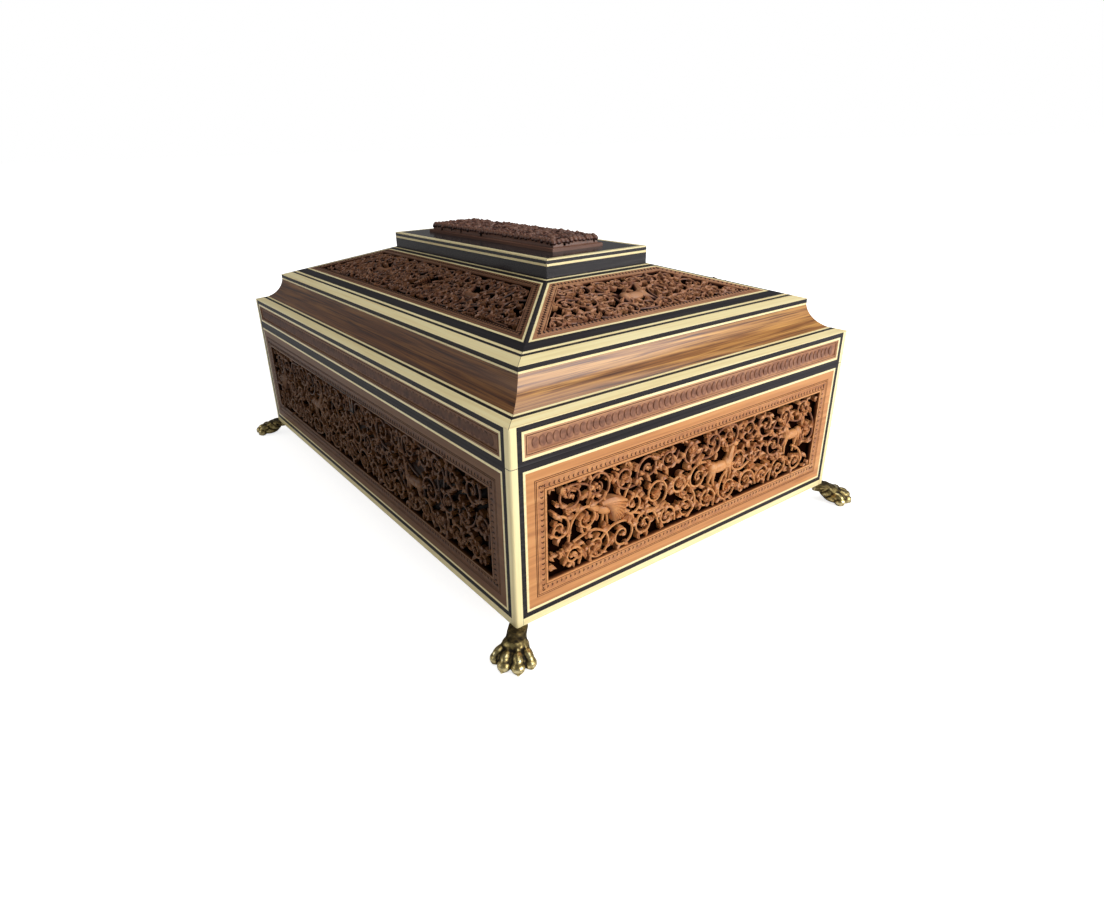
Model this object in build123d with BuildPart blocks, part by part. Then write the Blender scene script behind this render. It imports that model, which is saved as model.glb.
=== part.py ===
from build123d import *
import math
import os

# A carved and strung dressing box with a sarcophagus lid, on four cast paw feet.
# Millimetres. The origin is on the floor under the centre of the box, the long
# front faces -Y, the lid is hinged along the long back, and +Z is up.

# Overall size
length = 300.0
width = 208.0
foot_height = 10.0
case_height = 70.0
lid_frame_height = 15.9

# Boards of the carcase
wall = 7.0
bottom_thickness = 6.0
panel_depth = 5.0

# Bone and ebony stringing on the upright faces
post = 3.3
post_round = 1.0
edging_height = 3.2
ebony_line = 2.2
bone_line = 1.1

# Carved fields: plain border, depth of the ground and the scrollwork left on it
border = 9.8
carving_depth = 3.2
scroll_pitch = 27.0
scroll_rise = 2.4
scroll_band = 2.2
scroll_eye = 6.0
frieze_border = 2.0
frieze_pitch = 6.4
frieze_depth = 0.8
gouge_width = 2.1
gouge_tilt = 60.0

# Lid mouldings, measured inwards from the outer faces
moulding_in = 4.3
moulding_lip = 0.3
moulding_rise = 1.5
lower_ebony = 1.5
lower_bone = 1.0
lower_rise = 0.3
cove_in = 15.3
cove_rise = 11.3
cove_belly_in = 5.1
cove_belly_rise = 3.9
upper_bone_height = 0.9
upper_ebony_height = 1.9

# Sloping top, measured inwards from the outer faces
slope = 0.306
slope_layer = 3.0
band_width = 5.2
band_lip = 0.2
slope_line_ebony = 1.3
slope_line_bone = 1.3
slope_wide_ebony = 5.0
slope_inner_bone = 1.1
hip_ebony = 1.05
hip_bone = 0.95
top_bone = 0.9
top_ebony = 2.1
under_bone = 1.0
under_ebony = 1.0
slope_border = 4.0
slope_carving_depth = 2.0
lozenge_pitch = 20.5
lozenge_half = 9.8
core_thickness = 6.0
core_bearing = 12.0

# Plinth and plaque, each centred on the top
plinth_width = 63.2
plinth_rise = 8.4
plinth_line_height = 1.1
plinth_line_below_top = 2.1
plinth_line_depth = 1.2
plinth_edging = 2.5
plinth_edging_thickness = 0.6
plaque_width = 32.0
plaque_base = 1.4
plaque_step = 1.6
plaque_rise = 6.0
plaque_top_in = 6.0
plaque_belly = 3.6
plaque_belly_in = 0.8

# Mirror in the lid
mirror_frame_in = 24.0
mirror_lip = 3.0
mirror_lip_thickness = 1.5
mirror_thickness = 2.5
mirror_back = 2.5
glass_gap = 0.2

# Lift-out tray on its bearers
bearer = 3.0
bearer_height = 28.0
tray_gap = 0.6
tray_height = 33.0
tray_wall = 4.0
tray_bottom = 3.0
divider = 3.0
divider_drop = 1.0
side_compartment = 61.6
ledge = 3.0
cover_drop = 7.0
cover_thickness = 3.0
cover_gap = 0.5
knob_height = 4.8
knob_radius = 1.7
knob_stem = 1.1
knob_foot = 1.4
knob_foot_height = 0.7

# Butt hinges
hinge_span = 176.0
hinge_length = 38.0
knuckles = 3
leaf_width = 9.5
leaf_screw_in = 7.0
leaf_thickness = 1.1
barrel_radius = 1.8
barrel_off = 0.2
pin_radius = 0.8
pin_gap = 0.05
knuckle_gap = 0.2
hinge_screw_step = 12.0

# Wood screws: head and shank radius, length under the head's face
small_screw_head = 1.5
small_screw_shank = 0.75
small_screw_reach = 5.5
foot_screw_head = 2.2
foot_screw_shank = 1.1
foot_screw_reach = 6.0
screw_fit = 0.05
screw_land = 0.2

# Box lock
lock_width = 38.0
lock_height = 20.0
lock_depth = 5.2
lock_sheet = 0.6
selvedge_width = 50.0
selvedge_depth = 6.4
selvedge_thickness = 1.0
link_spacing = 14.0
link_width = 3.0
link_sheet = 1.4
link_drop = 6.8
link_eye = 2.6
link_eye_width = 1.6
link_gap = 0.5
link_slot_depth = 3.0
link_plate = 40.0
bolt_sheet = 1.0
bolt_bar = 2.6
bolt_tooth = 1.5
bolt_travel = 2.5
keyhole_drop = 14.0
keyhole_radius = 1.4
keyhole_slot = 1.3
keyhole_length = 4.4
keyhole_reserve = 5.6

# Paw feet, in a frame with x outwards along the corner's diagonal. The stations
# give distance out, half width and height of the top; the soles are cut flat.
paw_stations = [(-4.0, 4.4, 10.6), (2.2, 4.6, 9.8), (7.0, 6.8, 7.4), (11.5, 8.8, 5.6)]
sole_cut = 0.8
toe_radius = 2.7
toe_length = 13.0
toe_reach = [12.8, 16.0, 16.8, 14.2]
toe_angle = [-44.0, -16.0, 11.0, 38.0]
toe_dip = 12.0
toe_turn = 0.6
flange = 1.4
flange_in = 2.0
flange_leg = 24.0
foot_screw_in = 14.0
foot_screw_half = 5.0

# Heights from the floor that follow from the sizes above
case_bottom = foot_height
rim = case_bottom + case_height
lid_frame_top = rim + lid_frame_height
facing = post
line_in = post + ebony_line + bone_line
wall_in = facing + wall
cove_start_in = moulding_in + lower_ebony + lower_bone
moulding_top = lid_frame_top + moulding_rise
cove_start = moulding_top + 2 * lower_rise
cove_top = cove_start + cove_rise
upper_bone_top = cove_top + upper_bone_height
shoulder = upper_bone_top + upper_ebony_height
band_in = cove_in + band_width
core_depth = slope_layer + core_thickness
plinth_in = (width - plinth_width) / 2
plaque_in = (width - plaque_width) / 2


def slope_z(inset):
    """Height of the sloping top at a distance in from the outer face."""
    return shoulder + band_lip + slope * (inset - cove_in)


core_top = slope_z(plinth_in) - slope_layer
plinth_top = slope_z(plinth_in) + plinth_rise
plaque_top = plinth_top + plaque_rise + plaque_base
over_all = 2 * plaque_top

# Each side: outward direction, direction along the face, run and distance out
sides = {
    "front": ((0, -1, 0), (1, 0, 0), length, width / 2),
    "back": ((0, 1, 0), (-1, 0, 0), length, width / 2),
    "left": ((-1, 0, 0), (0, -1, 0), width, length / 2),
    "right": ((1, 0, 0), (0, 1, 0), width, length / 2),
}
corners = {
    "front_right": (1, -1, -45),
    "front_left": (-1, -1, -135),
    "back_right": (1, 1, 45),
    "back_left": (-1, 1, 135),
}


def face_plane(side, inset=0.0):
    """Upright plane of a face: x along the face, y up, normal outwards."""
    out, along, _, distance = sides[side]
    origin = Vector(*out) * (distance - inset)
    return Plane(origin=origin, x_dir=along, z_dir=out)


def section_plane(side):
    """Plane across a side: x inwards from the outer face, y up."""
    out, along, _, distance = sides[side]
    inward = Vector(*out) * -1
    normal = inward.cross(Vector(0, 0, 1))
    return Plane(origin=Vector(*out) * distance, x_dir=inward, z_dir=normal)


def plan_plane(side):
    """Floor plane of a side: x along the face, y inwards from the outer face."""
    out, along, _, distance = sides[side]
    return Plane(origin=Vector(*out) * distance, x_dir=along, z_dir=(0, 0, 1))


def mitred_strip(side, profile, belly=None):
    """A moulding along one side, cut to 45 degrees at both corners.

    The profile is a list of (inset, height). Where belly is given, the stretch
    from its second to its third point is an arc through belly."""
    run = sides[side][2]
    with BuildPart() as strip:
        with BuildSketch(section_plane(side)):
            with BuildLine():
                if belly is None:
                    Polyline(*profile, close=True)
                else:
                    Line(profile[0], profile[1])
                    ThreePointArc(profile[1], belly, profile[2])
                    Polyline(*profile[2:], profile[0])
            make_face()
        extrude(amount=run / 2, both=True)
        with BuildSketch(plan_plane(side)):
            with BuildLine():
                Polyline((-run / 2, 0), (run / 2, 0), (0, run / 2), close=True)
            make_face()
        extrude(amount=over_all, mode=Mode.INTERSECT)
    return strip.part


def ring(profile, belly=None):
    """Four mitred strips, one on each side."""
    return Compound(children=[mitred_strip(side, profile, belly) for side in sides])


def slope_strip(side, inset_low, inset_high):
    """A flat strip let into the sloping top."""
    low = slope_z(inset_low)
    high = slope_z(inset_high)
    profile = [
        (inset_low, low - slope_layer),
        (inset_low, low),
        (inset_high, high),
        (inset_high, high - slope_layer),
    ]
    return mitred_strip(side, profile)


def trapezoid(run, inset_low, inset_high, clear):
    """Corners of a hipped field in plan, clear of the hip lines."""
    back = clear * math.sqrt(2)
    low = run / 2 - inset_low - back
    high = run / 2 - inset_high - back
    return [(-low, inset_low), (low, inset_low), (high, inset_high), (-high, inset_high)]


def hipped_plate(side, inset_low, inset_high, clear, hole=None):
    """A trapezoid let into the slope, with an optional trapezoid hole."""
    run = sides[side][2]
    with BuildPart() as plate:
        add(slope_strip(side, inset_low, inset_high))
        with BuildSketch(plan_plane(side)):
            Polygon(*trapezoid(run, inset_low, inset_high, clear), align=None)
        extrude(amount=over_all, mode=Mode.INTERSECT)
        if hole is not None:
            with BuildSketch(plan_plane(side)):
                Polygon(*trapezoid(run, *hole), align=None)
            extrude(amount=over_all, mode=Mode.SUBTRACT)
    return plate.part


def face_frame(side, low, high, ends, bar, depth):
    """A rectangular frame of stringing let into an upright face."""
    run = sides[side][2]
    with BuildPart() as frame:
        with BuildSketch(face_plane(side)):
            with Locations((0, (low + high) / 2)):
                Rectangle(run - 2 * ends, high - low)
                Rectangle(run - 2 * (ends + bar), high - low - 2 * bar, mode=Mode.SUBTRACT)
        extrude(amount=-depth)
    return frame.part


def corner_posts(low, high):
    """Four square corner strips with a rounded outer arris."""
    posts = []
    for x_side, y_side, _ in corners.values():
        align = (Align.MAX if x_side > 0 else Align.MIN, Align.MAX if y_side > 0 else Align.MIN, Align.MIN)
        with BuildPart() as strip:
            with Locations((x_side * length / 2, y_side * width / 2, low)):
                Box(post, post, high - low, align=align)
            upright = strip.edges().filter_by(Axis.Z)
            outer = upright.sort_by(lambda edge: edge.center().X * x_side + edge.center().Y * y_side)[-1]
            fillet(outer, radius=post_round)
        posts.append(strip.part)
    return Compound(children=posts)


def wood_screw(head_radius, shank_radius, reach, extra=0.0):
    """A countersunk screw with its head face at the origin, pointing down."""
    neck = screw_land + head_radius - shank_radius
    with BuildPart() as screw:
        with BuildSketch(Plane.XZ):
            with BuildLine():
                Polyline(
                    (0, 0),
                    (head_radius + extra, 0),
                    (head_radius + extra, -screw_land),
                    (shank_radius + extra, -neck),
                    (shank_radius + extra, -reach - extra),
                    (0, -reach - extra),
                    close=True,
                )
            make_face()
        revolve(axis=Axis.Z)
    return screw.part


def turned_knob():
    """A small turned knob standing on the origin."""
    upwards = (Align.CENTER, Align.CENTER, Align.MIN)
    ball = knob_height - knob_radius
    with BuildPart() as knob:
        Cylinder(knob_foot, knob_foot_height, align=upwards)
        Cylinder(knob_stem, ball, align=upwards)
        with Locations((0, 0, ball)):
            Sphere(knob_radius)
    return knob.part


os.makedirs("parts", exist_ok=True)

# Field that the carved panel of each face fills, between the bone lines
panel_low = case_bottom + edging_height + ebony_line + bone_line
panel_high = rim - ebony_line - bone_line
frieze_low = rim + ebony_line + bone_line
frieze_high = lid_frame_top - ebony_line - bone_line
floor_top = case_bottom + bottom_thickness

# Screws of the feet, the hinges and the lock, with the holes that take them
foot_screw_size = (foot_screw_head, foot_screw_shank, foot_screw_reach)
small_screw_size = (small_screw_head, small_screw_shank, small_screw_reach)
foot_screw = wood_screw(*foot_screw_size)
foot_screw_hole = wood_screw(*foot_screw_size, screw_fit)
small_screw = wood_screw(*small_screw_size)
small_screw_hole = wood_screw(*small_screw_size, screw_fit)

# Hinge places along the back and the barrel's axis
hinge_places = [-hinge_span / 2, hinge_span / 2]
barrel_y = width / 2 + barrel_off + barrel_radius
leaf_screw_y = width / 2 - leaf_screw_in
case_leaf_screws = [
    (place + step, leaf_screw_y, rim)
    for place in hinge_places
    for step in (-hinge_screw_step, 0, hinge_screw_step)
]
# Lock screws stand at the two ends of the selvedge
lock_y = -width / 2 + wall_in - lock_depth / 2
selvedge_y = -width / 2 + wall_in - selvedge_depth / 2
lock_screw_x = (selvedge_width + lock_width) / 4
lock_screws = [(-lock_screw_x, selvedge_y, rim), (lock_screw_x, selvedge_y, rim)]
link_screw_x = (link_plate / 2 + link_spacing / 2 + link_sheet / 2) / 2
link_screws = [(-link_screw_x, selvedge_y, rim), (link_screw_x, selvedge_y, rim)]
screw_up = (180, 0, 0)


def keyhole():
    """Cutter for the keyhole, from the front face to inside the lock."""
    keyhole_z = rim - keyhole_drop
    with BuildPart() as cutter:
        with BuildSketch(face_plane("front")):
            with Locations((0, keyhole_z)):
                Circle(keyhole_radius)
            with Locations((0, keyhole_z - keyhole_length / 2)):
                Rectangle(keyhole_slot, keyhole_length)
        extrude(amount=-(wall_in - lock_depth / 2))
    return cutter.part


def case_wall(side):
    """One board of the case, with the pockets of the carved panels."""
    run = sides[side][2]
    ends = facing if side in ("front", "back") else wall_in
    with BuildPart() as board:
        with BuildSketch(face_plane(side, facing)):
            with Locations((0, (floor_top + rim) / 2)):
                Rectangle(run - 2 * ends, rim - floor_top)
        extrude(amount=-wall)
        for other in sides:
            with BuildSketch(face_plane(other)):
                with Locations((0, (panel_low + panel_high) / 2)):
                    Rectangle(sides[other][2] - 2 * line_in, panel_high - panel_low)
            extrude(amount=-panel_depth, mode=Mode.SUBTRACT)
        if side == "back":
            cut_leaf_recess(rim - leaf_thickness)
            with Locations(*case_leaf_screws):
                add(small_screw_hole, mode=Mode.SUBTRACT)
        if side == "front":
            with Locations((0, lock_y, rim - lock_height / 2)):
                Box(lock_width, lock_depth, lock_height, mode=Mode.SUBTRACT)
            with Locations((0, selvedge_y, rim - selvedge_thickness / 2)):
                Box(selvedge_width, selvedge_depth, selvedge_thickness, mode=Mode.SUBTRACT)
            with Locations(*lock_screws):
                add(small_screw_hole, mode=Mode.SUBTRACT)
            add(keyhole(), mode=Mode.SUBTRACT)
    return board.part


def cut_leaf_recess(low):
    """Recess for both hinge leaves in the piece being built."""
    for place in hinge_places:
        with Locations((place, width / 2 - leaf_width / 2, low + leaf_thickness / 2)):
            Box(hinge_length, leaf_width, leaf_thickness, mode=Mode.SUBTRACT)


for side in sides:
    board = case_wall(side)
    board.label = f"case_wall_{side}"
    export_step(board, f"parts/case_wall_{side}.step")

# Bottom board, with the holes of the foot screws
foot_screw_places = []
for x_side, y_side, angle in corners.values():
    for half in (-foot_screw_half, foot_screw_half):
        turn = math.radians(angle)
        dx = -foot_screw_in * math.cos(turn) - half * math.sin(turn)
        dy = -foot_screw_in * math.sin(turn) + half * math.cos(turn)
        foot_screw_places.append((x_side * length / 2 + dx, y_side * width / 2 + dy))

with BuildPart() as bottom_board:
    with Locations((0, 0, case_bottom)):
        Box(
            length - 2 * facing,
            width - 2 * facing,
            bottom_thickness,
            align=(Align.CENTER, Align.CENTER, Align.MIN),
        )
    for x, y in foot_screw_places:
        with Locations(Location((x, y, case_bottom - flange), screw_up)):
            add(foot_screw_hole, mode=Mode.SUBTRACT)
bottom_board.part.label = "bottom_board"
export_step(bottom_board.part, "parts/bottom_board.step")

# Stringing of the case: posts, bottom edging, ebony frames and bone frames
posts = corner_posts(case_bottom, rim)
posts.label = "case_corner_posts"
export_step(posts, "parts/case_corner_posts.step")

edging_pieces = []
for side in sides:
    with BuildPart() as edging:
        with BuildSketch(face_plane(side)):
            with Locations((0, case_bottom + edging_height / 2)):
                Rectangle(sides[side][2] - 2 * post, edging_height)
        extrude(amount=-facing)
    edging_pieces.append(edging.part)
bottom_edging = Compound(children=edging_pieces)
bottom_edging.label = "case_bottom_edging"
export_step(bottom_edging, "parts/case_bottom_edging.step")


def ebony_frames(low, high, recess_low):
    """Outer lines of all four faces; the back one clears the hinge leaves."""
    frames = []
    for side in sides:
        with BuildPart() as frame:
            add(face_frame(side, low, high, post, ebony_line, facing))
            if side == "back":
                cut_leaf_recess(recess_low)
        frames.append(frame.part)
    return Compound(children=frames)


def bone_frames(low, high):
    """Inner lines of all four faces."""
    ends = post + ebony_line
    return Compound(children=[face_frame(side, low, high, ends, bone_line, facing) for side in sides])


case_ebony_lines = ebony_frames(case_bottom + edging_height, rim, rim - leaf_thickness)
case_ebony_lines.label = "case_ebony_lines"
export_step(case_ebony_lines, "parts/case_ebony_lines.step")

case_bone_lines = bone_frames(case_bottom + edging_height + ebony_line, rim - ebony_line)
case_bone_lines.label = "case_bone_lines"
export_step(case_bone_lines, "parts/case_bone_lines.step")


def carved_panel(side):
    """A carved board: plain border, sunk ground and a row of scrolls on it."""
    run = sides[side][2]
    panel_width = run - 2 * line_in
    panel_height = panel_high - panel_low
    field_width = panel_width - 2 * border
    field_height = panel_height - 2 * border
    middle = (panel_low + panel_high) / 2
    scroll = field_height / 2 - scroll_band
    count = int(field_width // scroll_pitch)
    tongue_bottom = rim - keyhole_drop - keyhole_length - 2 * keyhole_radius
    tongue_top = panel_high - border
    with BuildPart() as panel:
        with BuildSketch(face_plane(side)):
            with Locations((0, middle)):
                Rectangle(panel_width, panel_height)
        extrude(amount=-panel_depth)
        with BuildSketch(face_plane(side)):
            with Locations((0, middle)):
                Rectangle(field_width, field_height)
        extrude(amount=-carving_depth, mode=Mode.SUBTRACT)
        with BuildSketch(face_plane(side, carving_depth)):
            with Locations((0, middle)):
                with GridLocations(scroll_pitch, 0, count, 1):
                    Circle(scroll)
                    Circle(scroll - scroll_band, mode=Mode.SUBTRACT)
                with GridLocations(scroll_pitch, 0, count, 1):
                    Circle(scroll_eye)
                Rectangle(field_width, scroll_band)
        extrude(amount=scroll_rise)
        if side == "front":
            with BuildSketch(face_plane(side)):
                with Locations((0, (tongue_top + tongue_bottom) / 2)):
                    Rectangle(keyhole_reserve, tongue_top - tongue_bottom)
            extrude(amount=-carving_depth)
            add(keyhole(), mode=Mode.SUBTRACT)
    return panel.part


for side in sides:
    panel = carved_panel(side)
    panel.label = f"case_panel_{side}"
    export_step(panel, f"parts/case_panel_{side}.step")


def paw_foot():
    """A cast paw in its own frame: x outwards, z up from the floor."""
    with BuildPart() as toe:
        with BuildSketch(Plane.XY):
            Ellipse(toe_length / 2, toe_radius)
            Rectangle(toe_length, toe_radius, align=(Align.CENTER, Align.MAX), mode=Mode.SUBTRACT)
        revolve(axis=Axis.X)
    with BuildPart() as paw:
        for out, half, top in paw_stations:
            with BuildSketch(Plane.YZ.offset(out)):
                with Locations((0, (top - sole_cut) / 2)):
                    Ellipse(half, (top + sole_cut) / 2)
        loft()
        for reach, turn in zip(toe_reach, toe_angle):
            middle = reach - toe_length / 2
            x = middle * math.cos(math.radians(turn))
            y = middle * math.sin(math.radians(turn))
            with Locations(Location((x, y, toe_radius), (0, toe_dip, turn * toe_turn))):
                add(toe.part)
        split(bisect_by=Plane.XY, keep=Keep.TOP)
        split(bisect_by=Plane.XY.offset(foot_height), keep=Keep.BOTTOM)
        with BuildSketch(Plane.XY.offset(foot_height - flange)):
            with BuildLine():
                near = -flange_in * math.sqrt(2)
                far = -(2 * flange_in + flange_leg) / math.sqrt(2)
                half = flange_leg / math.sqrt(2)
                Polyline((near, 0), (far, half), (far, -half), close=True)
            make_face()
        extrude(amount=flange)
        for y in (-foot_screw_half, foot_screw_half):
            with Locations(Location((-foot_screw_in, y, foot_height - flange), screw_up)):
                add(foot_screw_hole, mode=Mode.SUBTRACT)
    return paw.part


paw = paw_foot()
for corner, (x_side, y_side, angle) in corners.items():
    place = Location((x_side * length / 2, y_side * width / 2, 0), (0, 0, angle))
    foot = place * paw
    foot.label = f"foot_{corner}"
    export_step(foot, f"parts/foot_{corner}.step")

foot_screws = Compound(
    children=[
        Location((x, y, case_bottom - flange), screw_up) * foot_screw for x, y in foot_screw_places
    ]
)
foot_screws.label = "foot_screws"
export_step(foot_screws, "parts/foot_screws.step")

# Box lock: a closed brass case under its selvedge plate, let into the front wall
bolt_low = rim - link_drop - link_gap - bolt_bar
link_xs = [-link_spacing / 2, link_spacing / 2]
with BuildPart() as lock_case:
    with Locations((0, lock_y, rim - lock_height / 2)):
        Box(lock_width, lock_depth, lock_height)
        Box(
            lock_width - 2 * lock_sheet,
            lock_depth - 2 * lock_sheet,
            lock_height - 2 * lock_sheet,
            mode=Mode.SUBTRACT,
        )
    with Locations((0, selvedge_y, rim - selvedge_thickness / 2)):
        Box(selvedge_width, selvedge_depth, selvedge_thickness)
    for x in link_xs:
        with Locations((x, lock_y, rim)):
            Box(
                link_sheet + 2 * link_gap,
                link_width + 2 * link_gap,
                link_slot_depth,
                align=(Align.CENTER, Align.CENTER, Align.MAX),
                mode=Mode.SUBTRACT,
            )
    with Locations(*lock_screws):
        add(small_screw_hole, mode=Mode.SUBTRACT)
    add(keyhole(), mode=Mode.SUBTRACT)
lock_case.part.label = "lock_case"
export_step(lock_case.part, "parts/lock_case.step")

# The bolt's teeth reach past their uprights by its travel, so that a tooth goes
# through the eye of its link while the upright stays clear of the link
tooth_low = rim - link_drop + (link_drop - selvedge_thickness - link_eye) / 2
with BuildPart() as lock_bolt:
    tooth_end = link_sheet / 2 + link_gap
    tooth_length = bolt_tooth + bolt_travel
    bar_start = -link_spacing / 2 - tooth_end - tooth_length
    bar_end = link_spacing / 2
    with Locations(((bar_start + bar_end) / 2, lock_y, bolt_low + bolt_bar / 2)):
        Box(bar_end - bar_start, bolt_sheet, bolt_bar)
    for x in link_xs:
        start = x - tooth_end - tooth_length
        top = tooth_low + bolt_tooth
        with Locations((start, lock_y, bolt_low)):
            Box(bolt_tooth, bolt_sheet, top - bolt_low, align=(Align.MIN, Align.CENTER, Align.MIN))
        with Locations((start, lock_y, tooth_low)):
            Box(tooth_length, bolt_sheet, bolt_tooth, align=(Align.MIN, Align.CENTER, Align.MIN))
lock_bolt.part.label = "lock_bolt"
export_step(lock_bolt.part, "parts/lock_bolt.step")

with BuildPart() as link_plate_part:
    with Locations((0, selvedge_y, rim + selvedge_thickness / 2)):
        Box(link_plate, selvedge_depth, selvedge_thickness)
    for x in link_xs:
        with Locations((x, lock_y, rim - link_drop)):
            Box(link_sheet, link_width, link_drop, align=(Align.CENTER, Align.CENTER, Align.MIN))
        with Locations((x, lock_y, tooth_low - (link_eye - bolt_tooth) / 2)):
            Box(
                link_width,
                link_eye_width,
                link_eye,
                align=(Align.CENTER, Align.CENTER, Align.MIN),
                mode=Mode.SUBTRACT,
            )
    for place in link_screws:
        with Locations(Location(place, screw_up)):
            add(small_screw_hole, mode=Mode.SUBTRACT)
link_plate_part.part.label = "lock_link_plate"
export_step(link_plate_part.part, "parts/lock_link_plate.step")


def hinge_leaf(place, low, own_knuckles):
    """A leaf let into the rim, with its own knuckles on the barrel."""
    leaf_middle = low + leaf_thickness / 2
    knuckle = hinge_length / knuckles
    with BuildPart() as leaf:
        with Locations((place, width / 2 - leaf_width / 2, leaf_middle)):
            Box(hinge_length, leaf_width, leaf_thickness)
        for index in own_knuckles:
            x = place + (index - (knuckles - 1) / 2) * knuckle
            long = knuckle - knuckle_gap
            with Locations((x, (width / 2 + barrel_y) / 2, leaf_middle)):
                Box(long, barrel_y - width / 2, leaf_thickness)
            with BuildSketch(Plane.YZ.offset(x - long / 2)):
                with Locations((barrel_y, rim)):
                    Circle(barrel_radius)
            extrude(amount=long)
        with BuildSketch(Plane.YZ.offset(place - hinge_length / 2)):
            with Locations((barrel_y, rim)):
                Circle(pin_radius + pin_gap)
        extrude(amount=hinge_length, mode=Mode.SUBTRACT)
    return leaf.part


def with_screw_holes(leaf, places, turned):
    """The same leaf with countersunk holes."""
    with BuildPart() as drilled:
        add(leaf)
        for place in places:
            with Locations(Location(place, screw_up) if turned else Location(place)):
                add(small_screw_hole, mode=Mode.SUBTRACT)
    return drilled.part


case_leaves = []
lid_leaves = []
for place in hinge_places:
    own_screws = [spot for spot in case_leaf_screws if abs(spot[0] - place) < hinge_length / 2]
    low_leaf = hinge_leaf(place, rim - leaf_thickness, range(0, knuckles, 2))
    case_leaves.append(with_screw_holes(low_leaf, own_screws, False))
    high_leaf = hinge_leaf(place, rim, range(1, knuckles, 2))
    lid_leaves.append(with_screw_holes(high_leaf, own_screws, True))
hinge_case_leaves = Compound(children=case_leaves)
hinge_case_leaves.label = "hinge_case_leaves"
export_step(hinge_case_leaves, "parts/hinge_case_leaves.step")
hinge_lid_leaves = Compound(children=lid_leaves)
hinge_lid_leaves.label = "hinge_lid_leaves"
export_step(hinge_lid_leaves, "parts/hinge_lid_leaves.step")

pins = []
for place in hinge_places:
    with BuildPart() as pin:
        with BuildSketch(Plane.YZ.offset(place - hinge_length / 2)):
            with Locations((barrel_y, rim)):
                Circle(pin_radius)
        extrude(amount=hinge_length)
    pins.append(pin.part)
hinge_pins = Compound(children=pins)
hinge_pins.label = "hinge_pins"
export_step(hinge_pins, "parts/hinge_pins.step")

case_screws = Compound(
    children=[Location(place) * small_screw for place in case_leaf_screws + lock_screws]
)
case_screws.label = "case_screws"
export_step(case_screws, "parts/case_screws.step")
lid_screws = Compound(
    children=[Location(place, screw_up) * small_screw for place in case_leaf_screws + link_screws]
)
lid_screws.label = "lid_screws"
export_step(lid_screws, "parts/lid_screws.step")

# Tray bearers stand on the bottom board against the walls
bearer_length = length - 2 * wall_in
bearer_depth = width - 2 * wall_in
with BuildPart() as tray_bearers:
    with BuildSketch(Plane.XY.offset(floor_top)):
        for y in (-(bearer_depth - bearer) / 2, (bearer_depth - bearer) / 2):
            with Locations((0, y)):
                Rectangle(bearer_length, bearer)
    extrude(amount=bearer_height)
with BuildPart() as end_bearers:
    with BuildSketch(Plane.XY.offset(floor_top)):
        for x in (-(bearer_length - bearer) / 2, (bearer_length - bearer) / 2):
            with Locations((x, 0)):
                Rectangle(bearer, bearer_depth - 2 * bearer)
    extrude(amount=bearer_height)
bearers = Compound(children=tray_bearers.part.solids() + end_bearers.part.solids())
bearers.label = "tray_bearers"
export_step(bearers, "parts/tray_bearers.step")

# Tray: bottom, four sides and the dividers
tray_low = floor_top + bearer_height
tray_top = tray_low + tray_height
tray_length = bearer_length - 2 * tray_gap
tray_depth = bearer_depth - 2 * tray_gap
inner_length = tray_length - 2 * tray_wall
inner_depth = tray_depth - 2 * tray_wall
with BuildPart() as tray_base:
    with BuildSketch(Plane.XY.offset(tray_low)):
        Rectangle(tray_length, tray_depth)
    extrude(amount=tray_bottom)
tray_base.part.label = "tray_bottom"
export_step(tray_base.part, "parts/tray_bottom.step")

sides_low = tray_low + tray_bottom
tray_boards = []
for y in (-(tray_depth - tray_wall) / 2, (tray_depth - tray_wall) / 2):
    with BuildPart() as long_side:
        with BuildSketch(Plane.XY.offset(sides_low)):
            with Locations((0, y)):
                Rectangle(tray_length, tray_wall)
        extrude(amount=tray_top - sides_low)
    tray_boards.append(long_side.part)
for x in (-(tray_length - tray_wall) / 2, (tray_length - tray_wall) / 2):
    with BuildPart() as short_side:
        with BuildSketch(Plane.XY.offset(sides_low)):
            with Locations((x, 0)):
                Rectangle(tray_wall, inner_depth)
        extrude(amount=tray_top - sides_low)
    tray_boards.append(short_side.part)
tray_sides = Compound(children=tray_boards)
tray_sides.label = "tray_sides"
export_step(tray_sides, "parts/tray_sides.step")

divider_top = tray_top - divider_drop
divider_x = inner_length / 2 - side_compartment - divider / 2
tray_dividers = []
for x in (-divider_x, divider_x):
    with BuildPart() as cross_divider:
        with BuildSketch(Plane.XY.offset(sides_low)):
            with Locations((x, 0)):
                Rectangle(divider, inner_depth)
        extrude(amount=divider_top - sides_low)
    tray_dividers.append(cross_divider.part)
with BuildPart() as long_divider:
    with BuildSketch(Plane.XY.offset(sides_low)):
        Rectangle(2 * divider_x - divider, divider)
    extrude(amount=divider_top - sides_low)
tray_dividers.append(long_divider.part)
dividers = Compound(children=tray_dividers)
dividers.label = "tray_dividers"
export_step(dividers, "parts/tray_dividers.step")

# Ledges carry the covers of the two end compartments
cover_bottom = tray_top - cover_drop
cover_x = inner_length / 2 - side_compartment / 2
ledges = []
for x in (-cover_x, cover_x):
    for y in (-(inner_depth - ledge) / 2, (inner_depth - ledge) / 2):
        with BuildPart() as ledge_strip:
            with BuildSketch(Plane.XY.offset(cover_bottom - ledge)):
                with Locations((x, y)):
                    Rectangle(side_compartment, ledge)
            extrude(amount=ledge)
        ledges.append(ledge_strip.part)
cover_ledges = Compound(children=ledges)
cover_ledges.label = "tray_cover_ledges"
export_step(cover_ledges, "parts/tray_cover_ledges.step")

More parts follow.
